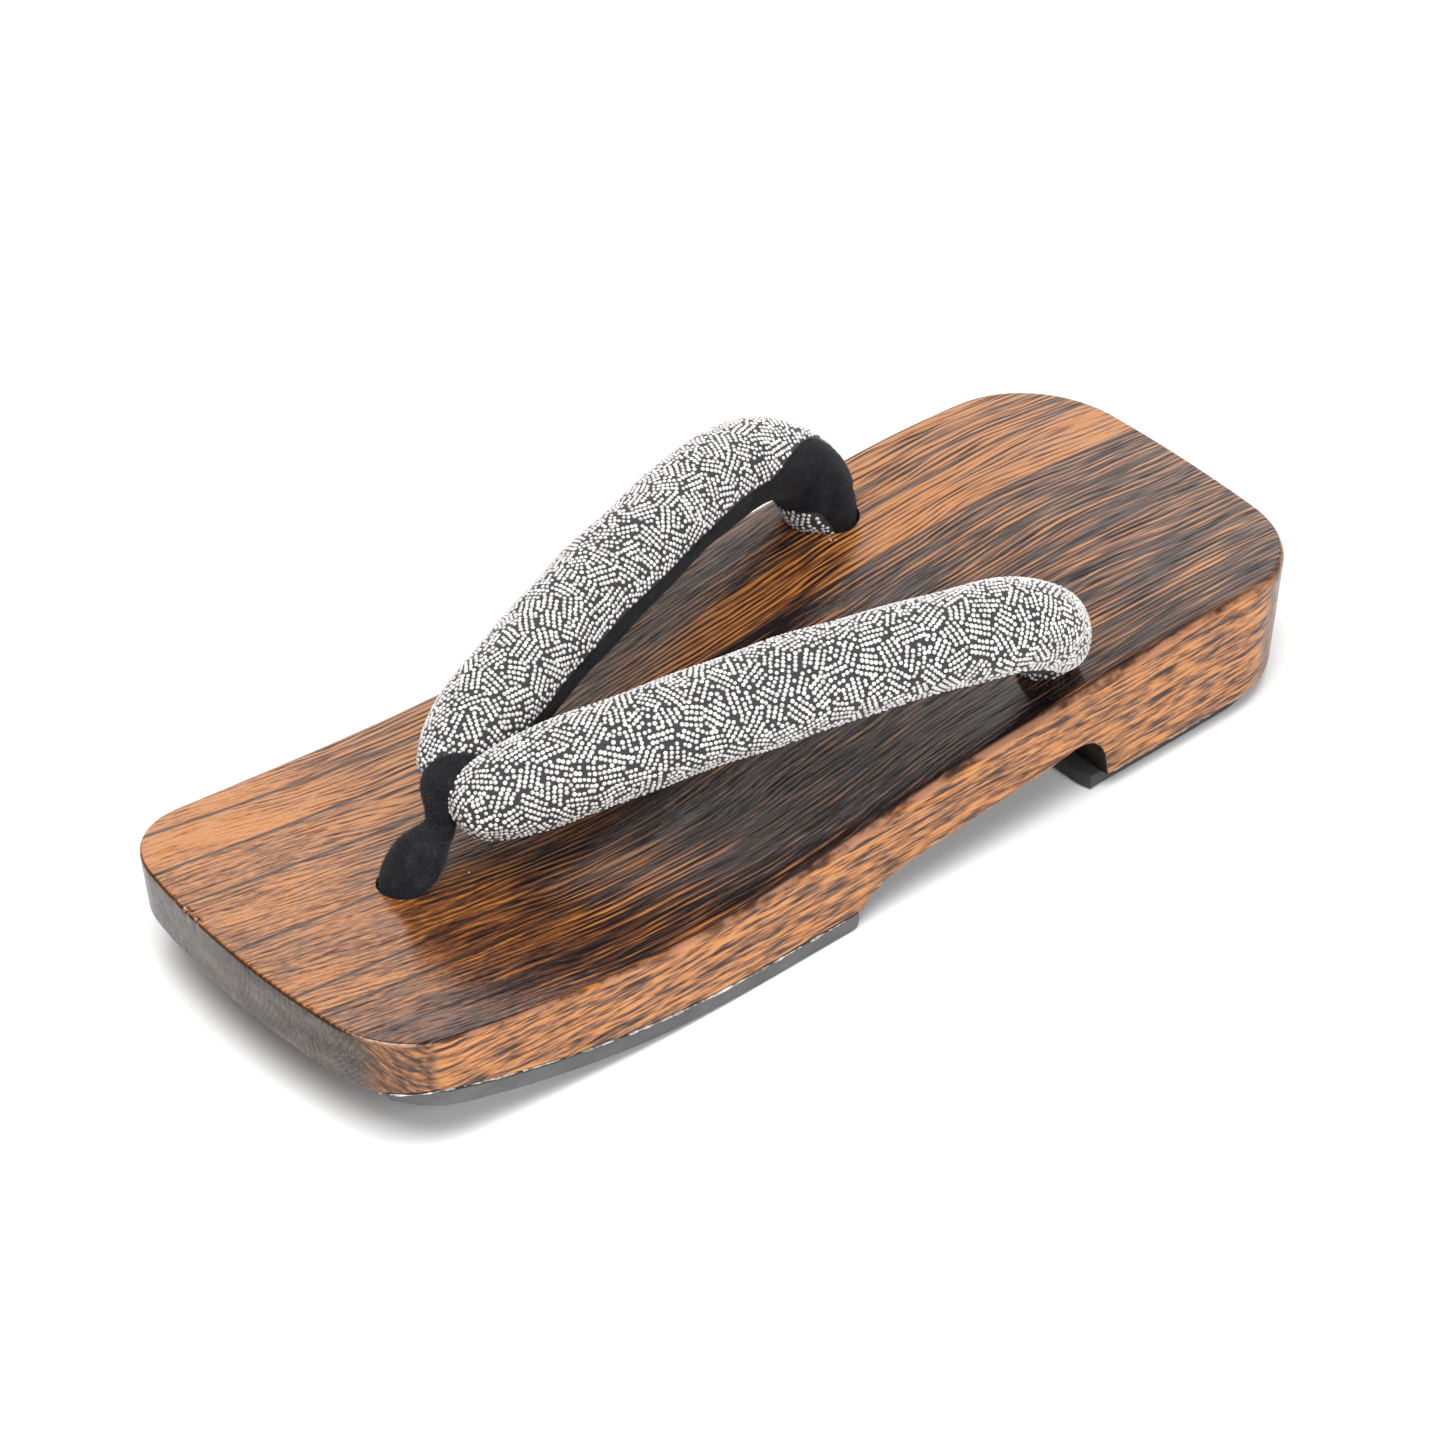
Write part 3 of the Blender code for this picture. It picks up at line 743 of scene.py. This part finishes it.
def glue_material():
    """Dried glue squeezed out over the rubber."""
    stops = (0.38, (0.10, 0.085, 0.07)), (0.5, (0.36, 0.33, 0.30)), (0.66, (0.66, 0.63, 0.59))
    s, patches = mottled("dried_glue", (2.2, 2.2, 1.0), 3.0, 0.7, *stops)
    s.set("Normal", s.bump(patches, 0.5, 0.1))
    s.set("Roughness", 0.5)
    return s.material


def cloth_material():
    """Black plain-woven cloth under the printed dots."""
    stops = (0.3, (0.006, 0.006, 0.007)), (0.7, (0.035, 0.034, 0.036))
    s, threads = mottled("black_cloth", (0.22,) * 3, 2.0, 0.6, *stops)
    s.set("Normal", s.bump(threads, 0.6, 0.12))
    s.set("Roughness", 0.85)
    s.set("Sheen Weight", 0.15)
    return s.material


def dot_material():
    """Silvery white printed dots with a slight pearl tone."""
    stops = (0.30, (0.38, 0.36, 0.355)), (0.50, (0.60, 0.58, 0.57)), (0.70, (0.76, 0.74, 0.74))
    s, _ = mottled("white_dots", (1.4,) * 3, 2.0, 0.6, *stops)
    s.set("Roughness", 0.38)
    s.set("Specular IOR Level", 0.6)
    return s.material


def velvet_material():
    """Short black pile with fine slanting ribs."""
    s = Shader("black_velvet")
    place = s.position()
    x, y, z = s.split(place)
    slant = s.math("ADD", s.madd(z, 0.9, y), s.times(x, 0.3))
    ribs = s.math("SINE", s.times(slant, 2.0 * math.pi / RIB_PITCH))
    pile = s.noise(place, (0.30, 0.30, 0.42), 3.0, 0.7)
    nap = s.noise(place, (3.5,) * 3, 2.0)
    colour = s.ramp(
        s.madd(nap, 0.5, s.times(pile, 0.6)),
        (0.35, (0.0035, 0.0035, 0.0045)),
        (0.6, (0.011, 0.011, 0.0145)),
        (0.8, (0.034, 0.034, 0.042)),
    )
    s.set("Base Color", colour)
    s.set("Normal", s.bump(s.madd(ribs, 0.10, pile), 0.8, 0.28))
    s.set("Roughness", 0.95)
    s.set("Specular IOR Level", 0.15)
    s.set("Sheen Weight", 0.07)
    s.set("Sheen Roughness", 0.4)
    return s.material


def fibre_material():
    """Loose ends of the pile."""
    stops = (0.35, (0.006, 0.006, 0.007)), (0.7, (0.050, 0.050, 0.058))
    s, _ = mottled("velvet_fibres", (1.2,) * 3, 1.0, 0.5, *stops)
    s.set("Roughness", 0.8)
    return s.material


def speck_material():
    """White lint and dust."""
    stops = (0.3, (0.65, 0.63, 0.60)), (0.7, (0.9, 0.88, 0.85))
    s, _ = mottled("white_lint", (0.3,) * 3, 1.0, 0.5, *stops)
    s.set("Roughness", 0.9)
    return s.material


def floor_material():
    """A plain pale floor."""
    s, _ = mottled("pale_floor", (220.0,) * 3, 2.0, 0.5, (0.3, (0.83, 0.83, 0.83)), (0.7, (0.86, 0.86, 0.86)))
    s.set("Roughness", 0.9)
    return s.material


# ---- deck and soles

# Small chips out of the toe's top edge: x, depth, half length
CHIPS = ((-15.6, 0.7, 0.7), (-11.8, 0.55, 0.6), (-20.5, 0.3, 1.2), (6.0, 0.25, 0.9), (23.0, 0.25, 1.0))


def chip(points):
    """Knock small chips out of the toe's top edge."""
    chipped = []
    for x, y, z in points:
        inside = y / lean(z) + HALF_LENGTH - TOE_SAGITTA * (x / END_HALF_WIDTH) ** 2
        edge = smoothstep(3.0, 0.0, top_height(y) - z) * smoothstep(2.2, 0.4, inside)
        for at, depth, reach in CHIPS:
            bite = depth * edge * math.exp(-(((x - at) / reach) ** 2))
            y += bite * 0.7
            z -= bite * 0.6
        chipped.append((x, y, z))
    return chipped


def drill(piece, x, y, radius):
    """Cut one upright hole through a piece."""
    bpy.ops.mesh.primitive_cylinder_add(vertices=48, radius=radius * MM, depth=80.0 * MM)
    tool = bpy.context.object
    tool.location = (x * MM, y * MM, 20.0 * MM)
    modifier = piece.modifiers.new("hole", "BOOLEAN")
    modifier.operation = "DIFFERENCE"
    modifier.solver = "EXACT"
    modifier.object = tool
    return tool


def make_deck(shader):
    """The wooden deck with its rounded rim, arch, heel block and three holes."""
    half = half_outline()
    points, faces = slab(half, top_height, underside, rim_radius, lambda y: BOTTOM_EDGE_RADIUS, 24, 7)
    deck = new_piece("deck_wood", chip(points), faces, [shader])
    tools = [drill(deck, *hole) for hole in (FRONT_HOLE, *REAR_HOLES)]
    bpy.context.view_layer.update()
    cut = bpy.data.meshes.new_from_object(deck.evaluated_get(bpy.context.evaluated_depsgraph_get()))
    deck.modifiers.clear()
    deck.data = cut
    for tool in tools:
        bpy.data.objects.remove(tool)
    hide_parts("wood_deck")


def make_front_rubber(shader):
    """The front sole: feathered at the toe, rounded at the rear."""
    low_y, high_y = FRONT_RUBBER_TOE, FRONT_RUBBER_REAR
    bow, corner = 0.6, 2.2
    outline = [(x, y) for x, y in half_outline() if low_y + bow < y < high_y - corner]
    first, last = outline[0][0], side_half_width(high_y)
    front = [(first * i / 16, low_y + bow * (i / 16) ** 2) for i in range(16)]
    rear = []
    for angle in spread(0.0, math.pi / 2.0, 6):
        rear.append((last - corner * (1.0 - math.cos(angle)), high_y - corner * (1.0 - math.sin(angle))))
    inner = [((last - corner) * (1.0 - i / 12), high_y + 0.02 * i / 12) for i in range(1, 13)]
    half = front + outline + rear + inner

    def rounding(y, radius, most):
        part = max(y - (high_y - radius), 0.0) / radius
        return min(radius * (1.0 - math.sqrt(max(1.0 - part**2, 0.0))), most)

    def lower(y):
        return rocker(y) + rounding(y, 2.6, 2.4)

    def upper(y):
        return min(rocker(y) + RUBBER_THICKNESS, TOE_BOTTOM) - GAP - rounding(y, 1.6, 1.28)

    points, faces = slab(half, upper, lower, lambda y: 0.25, lambda y: 0.7, 16, 4)
    rubber = new_piece("front_sole_rubber", points, faces, [shader])
    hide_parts("front_rubber_sole")


def make_heel_rubber(shader):
    """The heel sole, set in a little from the block."""
    width_scale = 1.0 - HEEL_RUBBER_INSET / side_half_width(0.0)
    length_scale = 1.0 - HEEL_RUBBER_INSET / HALF_LENGTH
    outline = [(x * width_scale, y * length_scale) for x, y in half_outline() if y * length_scale > 62.5]
    width = outline[0][0]
    front = [(width * i / 16, HEEL_RUBBER_FRONT + 0.4 * (i / 16) ** 2) for i in range(16)]
    corner = [(width, HEEL_RUBBER_FRONT + 1.2), (width, HEEL_RUBBER_FRONT + 2.0)]
    top = RUBBER_THICKNESS - GAP
    half = front + corner + outline
    points, faces = slab(half, lambda y: top, lambda y: 0.0, lambda y: 0.35, lambda y: 1.4, 16, 6)
    rubber = new_piece("heel_sole_rubber", points, faces, [shader])
    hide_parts("heel_rubber_sole")


def around(sides):
    """Cosine and sine of each corner of a round section."""
    return [(math.cos(2.0 * math.pi * j / sides), math.sin(2.0 * math.pi * j / sides)) for j in range(sides)]


def middle_of(points, face):
    """The middle of a face."""
    return sum((points[v] for v in face), Vector()) / len(face)


def bead(path, thickness, seed):
    """A broken, uneven bead along a path. Returns points and faces."""
    luck = random.Random(seed)
    sides = BEAD_SIDES
    wave = [luck.uniform(0.0, 1.0) for _ in range(len(path) + 8)]
    points, faces, rings = [], [], []
    for i, (centre, outward) in enumerate(path):
        level = sum(wave[i : i + 4]) / 4.0
        size = thickness * smoothstep(0.20, 0.72, level)
        ring = None
        if size > 0.05:
            ring = []
            for cosine, sine in around(sides):
                ring.append(len(points))
                points.append(centre + outward * (size * cosine) + Vector((0.0, 0.0, size * 0.8 * sine)))
        rings.append(ring)
    for low, high in zip(rings, rings[1:]):
        if low and high:
            for j in range(sides):
                k = (j + 1) % sides
                faces.append((low[j], low[k], high[k], high[j]))
    for before, ring, after in zip([None] + rings, rings, rings[1:] + [None]):
        if ring and not before:
            faces.append(tuple(ring[::-1]))
        if ring and not after:
            faces.append(tuple(ring))
    return points, faces


def dense_path(points, spacing):
    """Points evenly spaced along a polyline."""
    result = []
    for one, two in zip(points, points[1:]):
        steps = max(int((two - one).length / spacing), 1)
        for i in range(steps):
            result.append(one.lerp(two, i / steps))
    return result + [points[-1]]


def glue_path(half, height, low, high, inset, back):
    """The run of a glue line beside the rubber, from y to y on the sandal's left."""
    path = []
    for x, y in half:
        z = height(y) - GAP * 0.5
        if low < y * lean(z) < high:
            path.append(Vector((x - inset, y * lean(z) - back, z)))
    return path


def make_glue(shader):
    """Glue lines between the wood and the two rubber soles, on both sides."""
    half = half_outline()
    front = glue_path(half, underside, FRONT_RUBBER_TOE + 0.5, FRONT_RUBBER_REAR - 1.0, 0.05, 0.0)
    heel = glue_path(half, lambda y: RUBBER_THICKNESS, HEEL_BLOCK_FRONT + 1.0, HALF_LENGTH, 0.45, 0.4)
    points, faces = [], []
    for number, (run, thickness) in enumerate(((front, FRONT_GLUE), (heel, HEEL_GLUE))):
        for side in (1.0, -1.0):
            mirrored = [Vector((side * p.x, p.y, p.z)) for p in run]
            path = [(p, Vector((p.x, 0.0, 0.0)).normalized()) for p in dense_path(mirrored, 0.5)]
            more, ends = bead(path, thickness, SEED + number * 2 + int(side > 0.0))
            base = len(points)
            points += more
            faces += [tuple(v + base for v in face) for face in ends]
    new_piece("glue_line", points, faces, [shader])


# ---- straps

# Along the strap from join to hole, 0 to 1: the crease, the pinch and the fold at the rear bend
CREASE_AT, PINCH_AT, FOLD_AT = 0.882, 0.895, 0.925
CREASE_DEPTH, PINCH_DEPTH, FOLD_HEIGHT = 2.4, 0.8, 1.5
SEAM_DEPTH = 0.38


def strap_edges(part):
    """Where the cloth ends and the velvet begins, round the section, in degrees.
    0 is outward, 90 up, 180 inward and 270 down."""
    inner = 180.0 - 74.0 * smoothstep(0.70, 0.86, part)
    outer = 322.0 - 117.0 * smoothstep(0.868, 0.892, part)
    return inner, outer


def strap_relief(part, angle, side):
    """How far the surface stands out, in millimetres, at a place along and round the strap."""
    relief = 0.20 * math.sin(19.0 * part + 2.1 * angle + side)
    relief += 0.13 * math.sin(43.0 * part - 3.0 * angle + 2.0 * side)
    below = max(math.cos(angle - math.radians(272.0)), 0.0)
    crease = math.exp(-(((part - CREASE_AT) / 0.010) ** 2))
    fold = math.exp(-(((part - FOLD_AT) / 0.024) ** 2))
    if side > 0.0:
        relief += below**0.7 * (FOLD_HEIGHT * fold - CREASE_DEPTH * crease)
    outer_pinch = max(math.cos(angle - math.radians(330.0)), 0.0)
    relief -= PINCH_DEPTH * outer_pinch**4 * math.exp(-(((part - PINCH_AT) / 0.012) ** 2))
    gather = smoothstep(0.91, 0.975, part) + smoothstep(0.07, 0.01, part)
    relief += gather * 0.35 * math.sin(9.0 * angle + 14.0 * part)
    inner, outer = strap_edges(part)
    for edge in (inner, outer):
        away = abs((math.degrees(angle) - edge + 180.0) % 360.0 - 180.0) * 0.17
        relief -= SEAM_DEPTH * math.exp(-((away / 0.55) ** 2))
    return relief


def strap_surface(side):
    """Points, faces, face kinds of one strap tube, and where each face is."""
    stations = spline_stations(LEFT_STRAP if side > 0.0 else RIGHT_STRAP, STRAP_RINGS)
    centres = [Vector((side * x, y, z)) for x, y, z, _, _ in stations]
    frames = frames_along(centres, (side, 0.0, 0.0), side)
    sides = CLOTH_SIDES + VELVET_SIDES
    points, faces, kinds, places = [], [], [], []
    for i, (station, centre, (outward, upward)) in enumerate(zip(stations, centres, frames)):
        part = i / (STRAP_RINGS - 1)
        inner, outer = strap_edges(part)
        for j in range(sides):
            if j <= CLOTH_SIDES:
                degrees = (outer - 360.0) + (inner - outer + 360.0) * j / CLOTH_SIDES
            else:
                degrees = inner + (outer - inner) * (j - CLOTH_SIDES) / VELVET_SIDES
            angle = math.radians(degrees)
            out = strap_relief(part, angle, side)
            across = outward * ((station[3] + out) * math.cos(angle))
            point = centre + across + upward * ((station[4] + out) * math.sin(angle))
            # The two straps press flat against each other in the middle plane
            flat = 0.12
            if side * point.x < flat + 1.5:
                inside = side * point.x - flat
                point.x = side * (flat + 1.5 * math.exp((inside - 1.5) / 1.5))
            points.append(point)
    for i in range(STRAP_RINGS - 1):
        for j in range(sides):
            k = (j + 1) % sides
            ring, following = i * sides, (i + 1) * sides
            face = (ring + j, ring + k, following + k, following + j)
            faces.append(face if side < 0.0 else face[::-1])
            kinds.append(CLOTH if j < CLOTH_SIDES else VELVET)
            places.append((i, j))
    for start, flip in ((0, side > 0.0), ((STRAP_RINGS - 1) * sides, side < 0.0)):
        middle = len(points)
        points.append(sum((points[start + j] for j in range(sides)), Vector()) / sides)
        for j in range(sides):
            face = (middle, start + j, start + (j + 1) % sides)
            faces.append(face if flip else face[::-1])
            kinds.append(CLOTH if j < CLOTH_SIDES else VELVET)
            places.append((0, 0))
    return points, faces, kinds, places


def make_strap(side, shaders):
    """One padded strap, dotted cloth outside and velvet against the foot."""
    points, faces, kinds, places = strap_surface(side)
    strap = new_piece(side_name("strap", side), points, faces, shaders, SOFT_CREASE, kinds)
    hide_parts("strap_pair")
    return points, faces, kinds, places


def dot_places(side, points, faces, kinds, places):
    """Where the dots go: short rows in patches that turn this way and that."""
    luck = random.Random(SEED + (3 if side > 0.0 else 4))
    tree = BVHTree.FromPolygons([tuple(point) for point in points], faces)
    cloth = [n for n, kind in enumerate(kinds) if kind == CLOTH and places[n] != (0, 0)]
    seeds = []
    for _ in range(PATCH_TRIES):
        centre = middle_of(points, faces[luck.choice(cloth)])
        if all((centre - other).length > PATCH_SPACING * 0.78 for other, _, _ in seeds):
            _, normal, _, _ = tree.find_nearest(centre)
            seeds.append((centre, normal, luck.uniform(0.0, math.pi)))
    seed_tree = KDTree(len(seeds))
    for number, (centre, _, _) in enumerate(seeds):
        seed_tree.insert(centre, number)
    seed_tree.balance()
    grid = {}
    result = []

    def cell(place):
        return tuple(math.floor(value / DOT_SPACING) for value in place)

    def crowded(place, spacing):
        for cell_step in product((-1, 0, 1), repeat=3):
            near = tuple(a + b for a, b in zip(cell(place), cell_step))
            if any((other - place).length < spacing for other in grid.get(near, ())):
                return True
        return False

    def settle(guess, spacing):
        place, normal, face, distance = tree.find_nearest(guess)
        if place is None or distance > 3.0 or kinds[face] != CLOTH or places[face] == (0, 0):
            return
        if places[face][1] in (0, CLOTH_SIDES - 1) or crowded(place, spacing):
            return
        if side * place.x < 0.45:
            return
        grid.setdefault(cell(place), []).append(place)
        result.append((place, normal))

    for number, (centre, normal, angle) in enumerate(seeds):
        first = normal.orthogonal().normalized()
        second = normal.cross(first)
        run = first * math.cos(angle) + second * math.sin(angle)
        cross = normal.cross(run)
        rows = int(PATCH_REACH / ROW_PITCH)
        dots = int(PATCH_REACH / DOT_PITCH)
        start = luck.uniform(0.0, 1.0)
        for i in range(-rows, rows + 1):
            slip = luck.uniform(0.0, 1.0)
            for j in range(-dots, dots + 1):
                jitter = Vector([luck.gauss(0.0, DOT_JITTER) for _ in range(3)])
                guess = centre + cross * ((i + start) * ROW_PITCH) + run * ((j + slip) * DOT_PITCH) + jitter
                if seed_tree.find(guess)[1] == number:
                    settle(guess, DOT_SPACING * ROW_ROOM)
    for _ in range(FILLER_TRIES):
        settle(middle_of(points, faces[luck.choice(cloth)]), DOT_SPACING * FILLER_ROOM)
    return result


def make_dots(side, surface, shader):
    """Raised dots on one strap, as one joined mesh of low domes."""
    luck = random.Random(SEED + 9)
    points, faces = [], []
    for place, normal in dot_places(side, *surface):
        first = normal.orthogonal().normalized()
        second = normal.cross(first)
        radius = DOT_RADIUS * luck.uniform(0.84, 1.12)
        base = len(points)
        for size, height in ((1.0, -0.05), (0.74, 0.72)):
            for cosine, sine in around(DOT_SIDES):
                rim = first * cosine + second * sine
                points.append(place + rim * (radius * size) + normal * (DOT_HEIGHT * height))
        points.append(place + normal * DOT_HEIGHT)
        for j in range(DOT_SIDES):
            k = (j + 1) % DOT_SIDES
            faces.append((base + j, base + k, base + DOT_SIDES + k, base + DOT_SIDES + j))
            faces.append((base + DOT_SIDES + j, base + DOT_SIDES + k, base + 2 * DOT_SIDES))
    new_piece(side_name("dots", side), points, faces, [shader], math.radians(85.0))


# ---- thong and small things


def thong_surface():
    """Points and faces of the velvet thong."""
    stations = spline_stations(THONG_STATIONS, THONG_RINGS)
    centres = [Vector(station[:3]) for station in stations]
    frames = frames_along(centres, (1.0, 0.0, 0.0), 1.0)
    points, faces = [], []
    for i, (station, centre, (outward, upward)) in enumerate(zip(stations, centres, frames)):
        part = i / (THONG_RINGS - 1)
        for j in range(THONG_SIDES):
            angle = 2.0 * math.pi * j / THONG_SIDES
            out = 0.10 * math.sin(5.0 * angle + 26.0 * part) + 0.10 * math.sin(2.0 * angle - 41.0 * part)
            across = outward * ((station[3] + out) * math.cos(angle))
            points.append(centre + across + upward * ((station[4] + out) * math.sin(angle)))
    for i in range(THONG_RINGS - 1):
        for j in range(THONG_SIDES):
            k = (j + 1) % THONG_SIDES
            low, high = i * THONG_SIDES, (i + 1) * THONG_SIDES
            faces.append((low + k, low + j, high + j, high + k))
    last = (THONG_RINGS - 1) * THONG_SIDES
    faces.append(tuple(range(THONG_SIDES)))
    faces.append(tuple(last + j for j in range(THONG_SIDES))[::-1])
    return points, faces


def make_pile(name, points, faces, count, length, seed, shader, keep=None):
    """Loose fibre ends standing off a velvet surface, as one joined mesh of thin slivers."""
    luck = random.Random(seed)
    slivers, triangles = [], []
    for _ in range(count):
        number = luck.randrange(len(faces))
        if keep is not None and not keep[number]:
            continue
        corners = [Vector(points[v]) for v in faces[number][:4]]
        if len(corners) < 4:
            continue
        u, v = luck.random(), luck.random()
        root = corners[0].lerp(corners[1], u).lerp(corners[3].lerp(corners[2], u), v)
        normal = (corners[2] - corners[0]).cross(corners[3] - corners[1])
        if normal.length < 1e-9:
            continue
        normal.normalize()
        lean_away = Vector([luck.gauss(0.0, 0.6) for _ in range(3)])
        tip = root + (normal + lean_away).normalized() * (length * luck.uniform(0.4, 1.2))
        across = (tip - root).cross(lean_away).normalized() * FIBRE_HALF_WIDTH
        base = len(slivers)
        slivers += [root - across, root + across, tip]
        triangles.append((base, base + 1, base + 2))
    new_piece(name, slivers, triangles, [shader])


def make_thong(shader, fibres):
    """The toe thong and its pile."""
    points, faces = thong_surface()
    thong = new_piece("thong_velvet", points, faces, [shader], SOFT_CREASE)
    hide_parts("toe_thong")
    make_pile("thong_pile", points, faces[:-2], *THONG_PILE, SEED + 21, fibres)


def make_specks(shader):
    """A speck of dust beside the thong and a wisp of lint at the right strap's end."""
    luck = random.Random(SEED + 31)
    points, faces = [], []
    grains = [(4.5, -72.5, 0.34), (-27.2, 49.4, 0.22), (-26.4, 49.0, 0.26), (-25.9, 49.9, 0.2)]
    for x, y, size in grains:
        centre = Vector((x, y, top_height(y) + size * 0.6))
        base = len(points)
        for direction in ((1, 0, 0), (0, 1, 0), (-1, 0, 0), (0, -1, 0), (0, 0, 1), (0, 0, -1)):
            points.append(centre + Vector(direction) * (size * luck.uniform(0.6, 1.1)))
        for j in range(4):
            k = (j + 1) % 4
            faces.append((base + j, base + k, base + 4))
            faces.append((base + k, base + j, base + 5))
    new_piece("dust_specks", points, faces, [shader], SOFT_CREASE)


# ---- studio

# Light panels, in metres and watts: direction, distance, width, height, power, colour
PANELS = (
    ("back_panel", (-0.70, 0.55, 0.46), 1.5, 2.0, 1.1, 13.4, (1.0, 0.94, 0.90)),
    ("top_panel", (0.15, -0.25, 1.0), 1.6, 1.2, 1.2, 40.0, (1.0, 1.0, 1.0)),
    ("right_panel", (1.0, -0.15, 0.55), 1.8, 1.2, 1.0, 22.0, (1.0, 1.0, 1.0)),
)
FLOOR_REACH = 4.0
CAMERA_PLACE = (0.7065, -0.5991, 0.7510)
CAMERA_AIM = (-0.001, -0.003, 0.023)
CAMERA_LENS = 144.0


def make_floor(shader):
    """A plain pale floor under the sandal."""
    mesh = bpy.data.meshes.new("floor")
    corners = [(FLOOR_REACH * x, FLOOR_REACH * y, 0.0) for x, y in ((-1, -1), (1, -1), (1, 1), (-1, 1))]
    mesh.from_pydata(corners, [], [(0, 1, 2, 3)])
    mesh.materials.append(shader)
    linked("floor", mesh)


def softbox(name, direction, distance, width, height, power, colour):
    """A soft area light facing the sandal from a direction."""
    lamp = bpy.data.lights.new(name, "AREA")
    lamp.shape = "RECTANGLE"
    lamp.size = width
    lamp.size_y = height
    lamp.energy = power
    lamp.color = colour
    light = linked(name, lamp)
    towards = Vector(direction).normalized()
    light.location = towards * distance
    light.rotation_euler = (-towards).to_track_quat("-Z", "Y").to_euler()


def make_studio():
    """Soft studio light: a wide back panel that the varnish mirrors, an overhead panel and a fill."""
    world = bpy.data.worlds.new("studio")
    bpy.context.scene.world = world
    world.use_nodes = True
    backdrop = world.node_tree.nodes["Background"]
    backdrop.inputs["Color"].default_value = (1.0, 0.985, 0.965, 1.0)
    backdrop.inputs["Strength"].default_value = 0.10
    for panel in PANELS:
        softbox(*panel)


def make_camera():
    """The camera at the angle of the photograph, aimed at the middle of the sandal."""
    lens = bpy.data.cameras.new("camera")
    lens.lens = CAMERA_LENS
    lens.sensor_width = 36.0
    lens.clip_end = 20.0
    camera = linked("camera", lens)
    camera.location = CAMERA_PLACE
    camera.rotation_euler = (Vector(CAMERA_AIM) - camera.location).to_track_quat("-Z", "Y").to_euler()
    bpy.context.scene.camera = camera


def build():
    """Every piece, then the studio."""
    wood = wood_material()
    rubber = rubber_material()
    cloth = cloth_material()
    velvet = velvet_material()
    fibres = fibre_material()
    dots = dot_material()
    make_deck(wood)
    make_front_rubber(rubber)
    make_heel_rubber(rubber)
    make_glue(glue_material())
    for side in (1.0, -1.0):
        surface = make_strap(side, [cloth, velvet])
        make_dots(side, surface, dots)
        points, faces, kinds, _ = surface
        lining = [kind == VELVET for kind in kinds]
        make_pile(side_name("lining_pile", side), points, faces, *LINING_PILE, SEED + 22, fibres, lining)
    make_thong(velvet, fibres)
    make_specks(speck_material())
    make_floor(floor_material())
    make_studio()
    make_camera()
    bpy.context.scene.view_settings.view_transform = "Standard"


build()
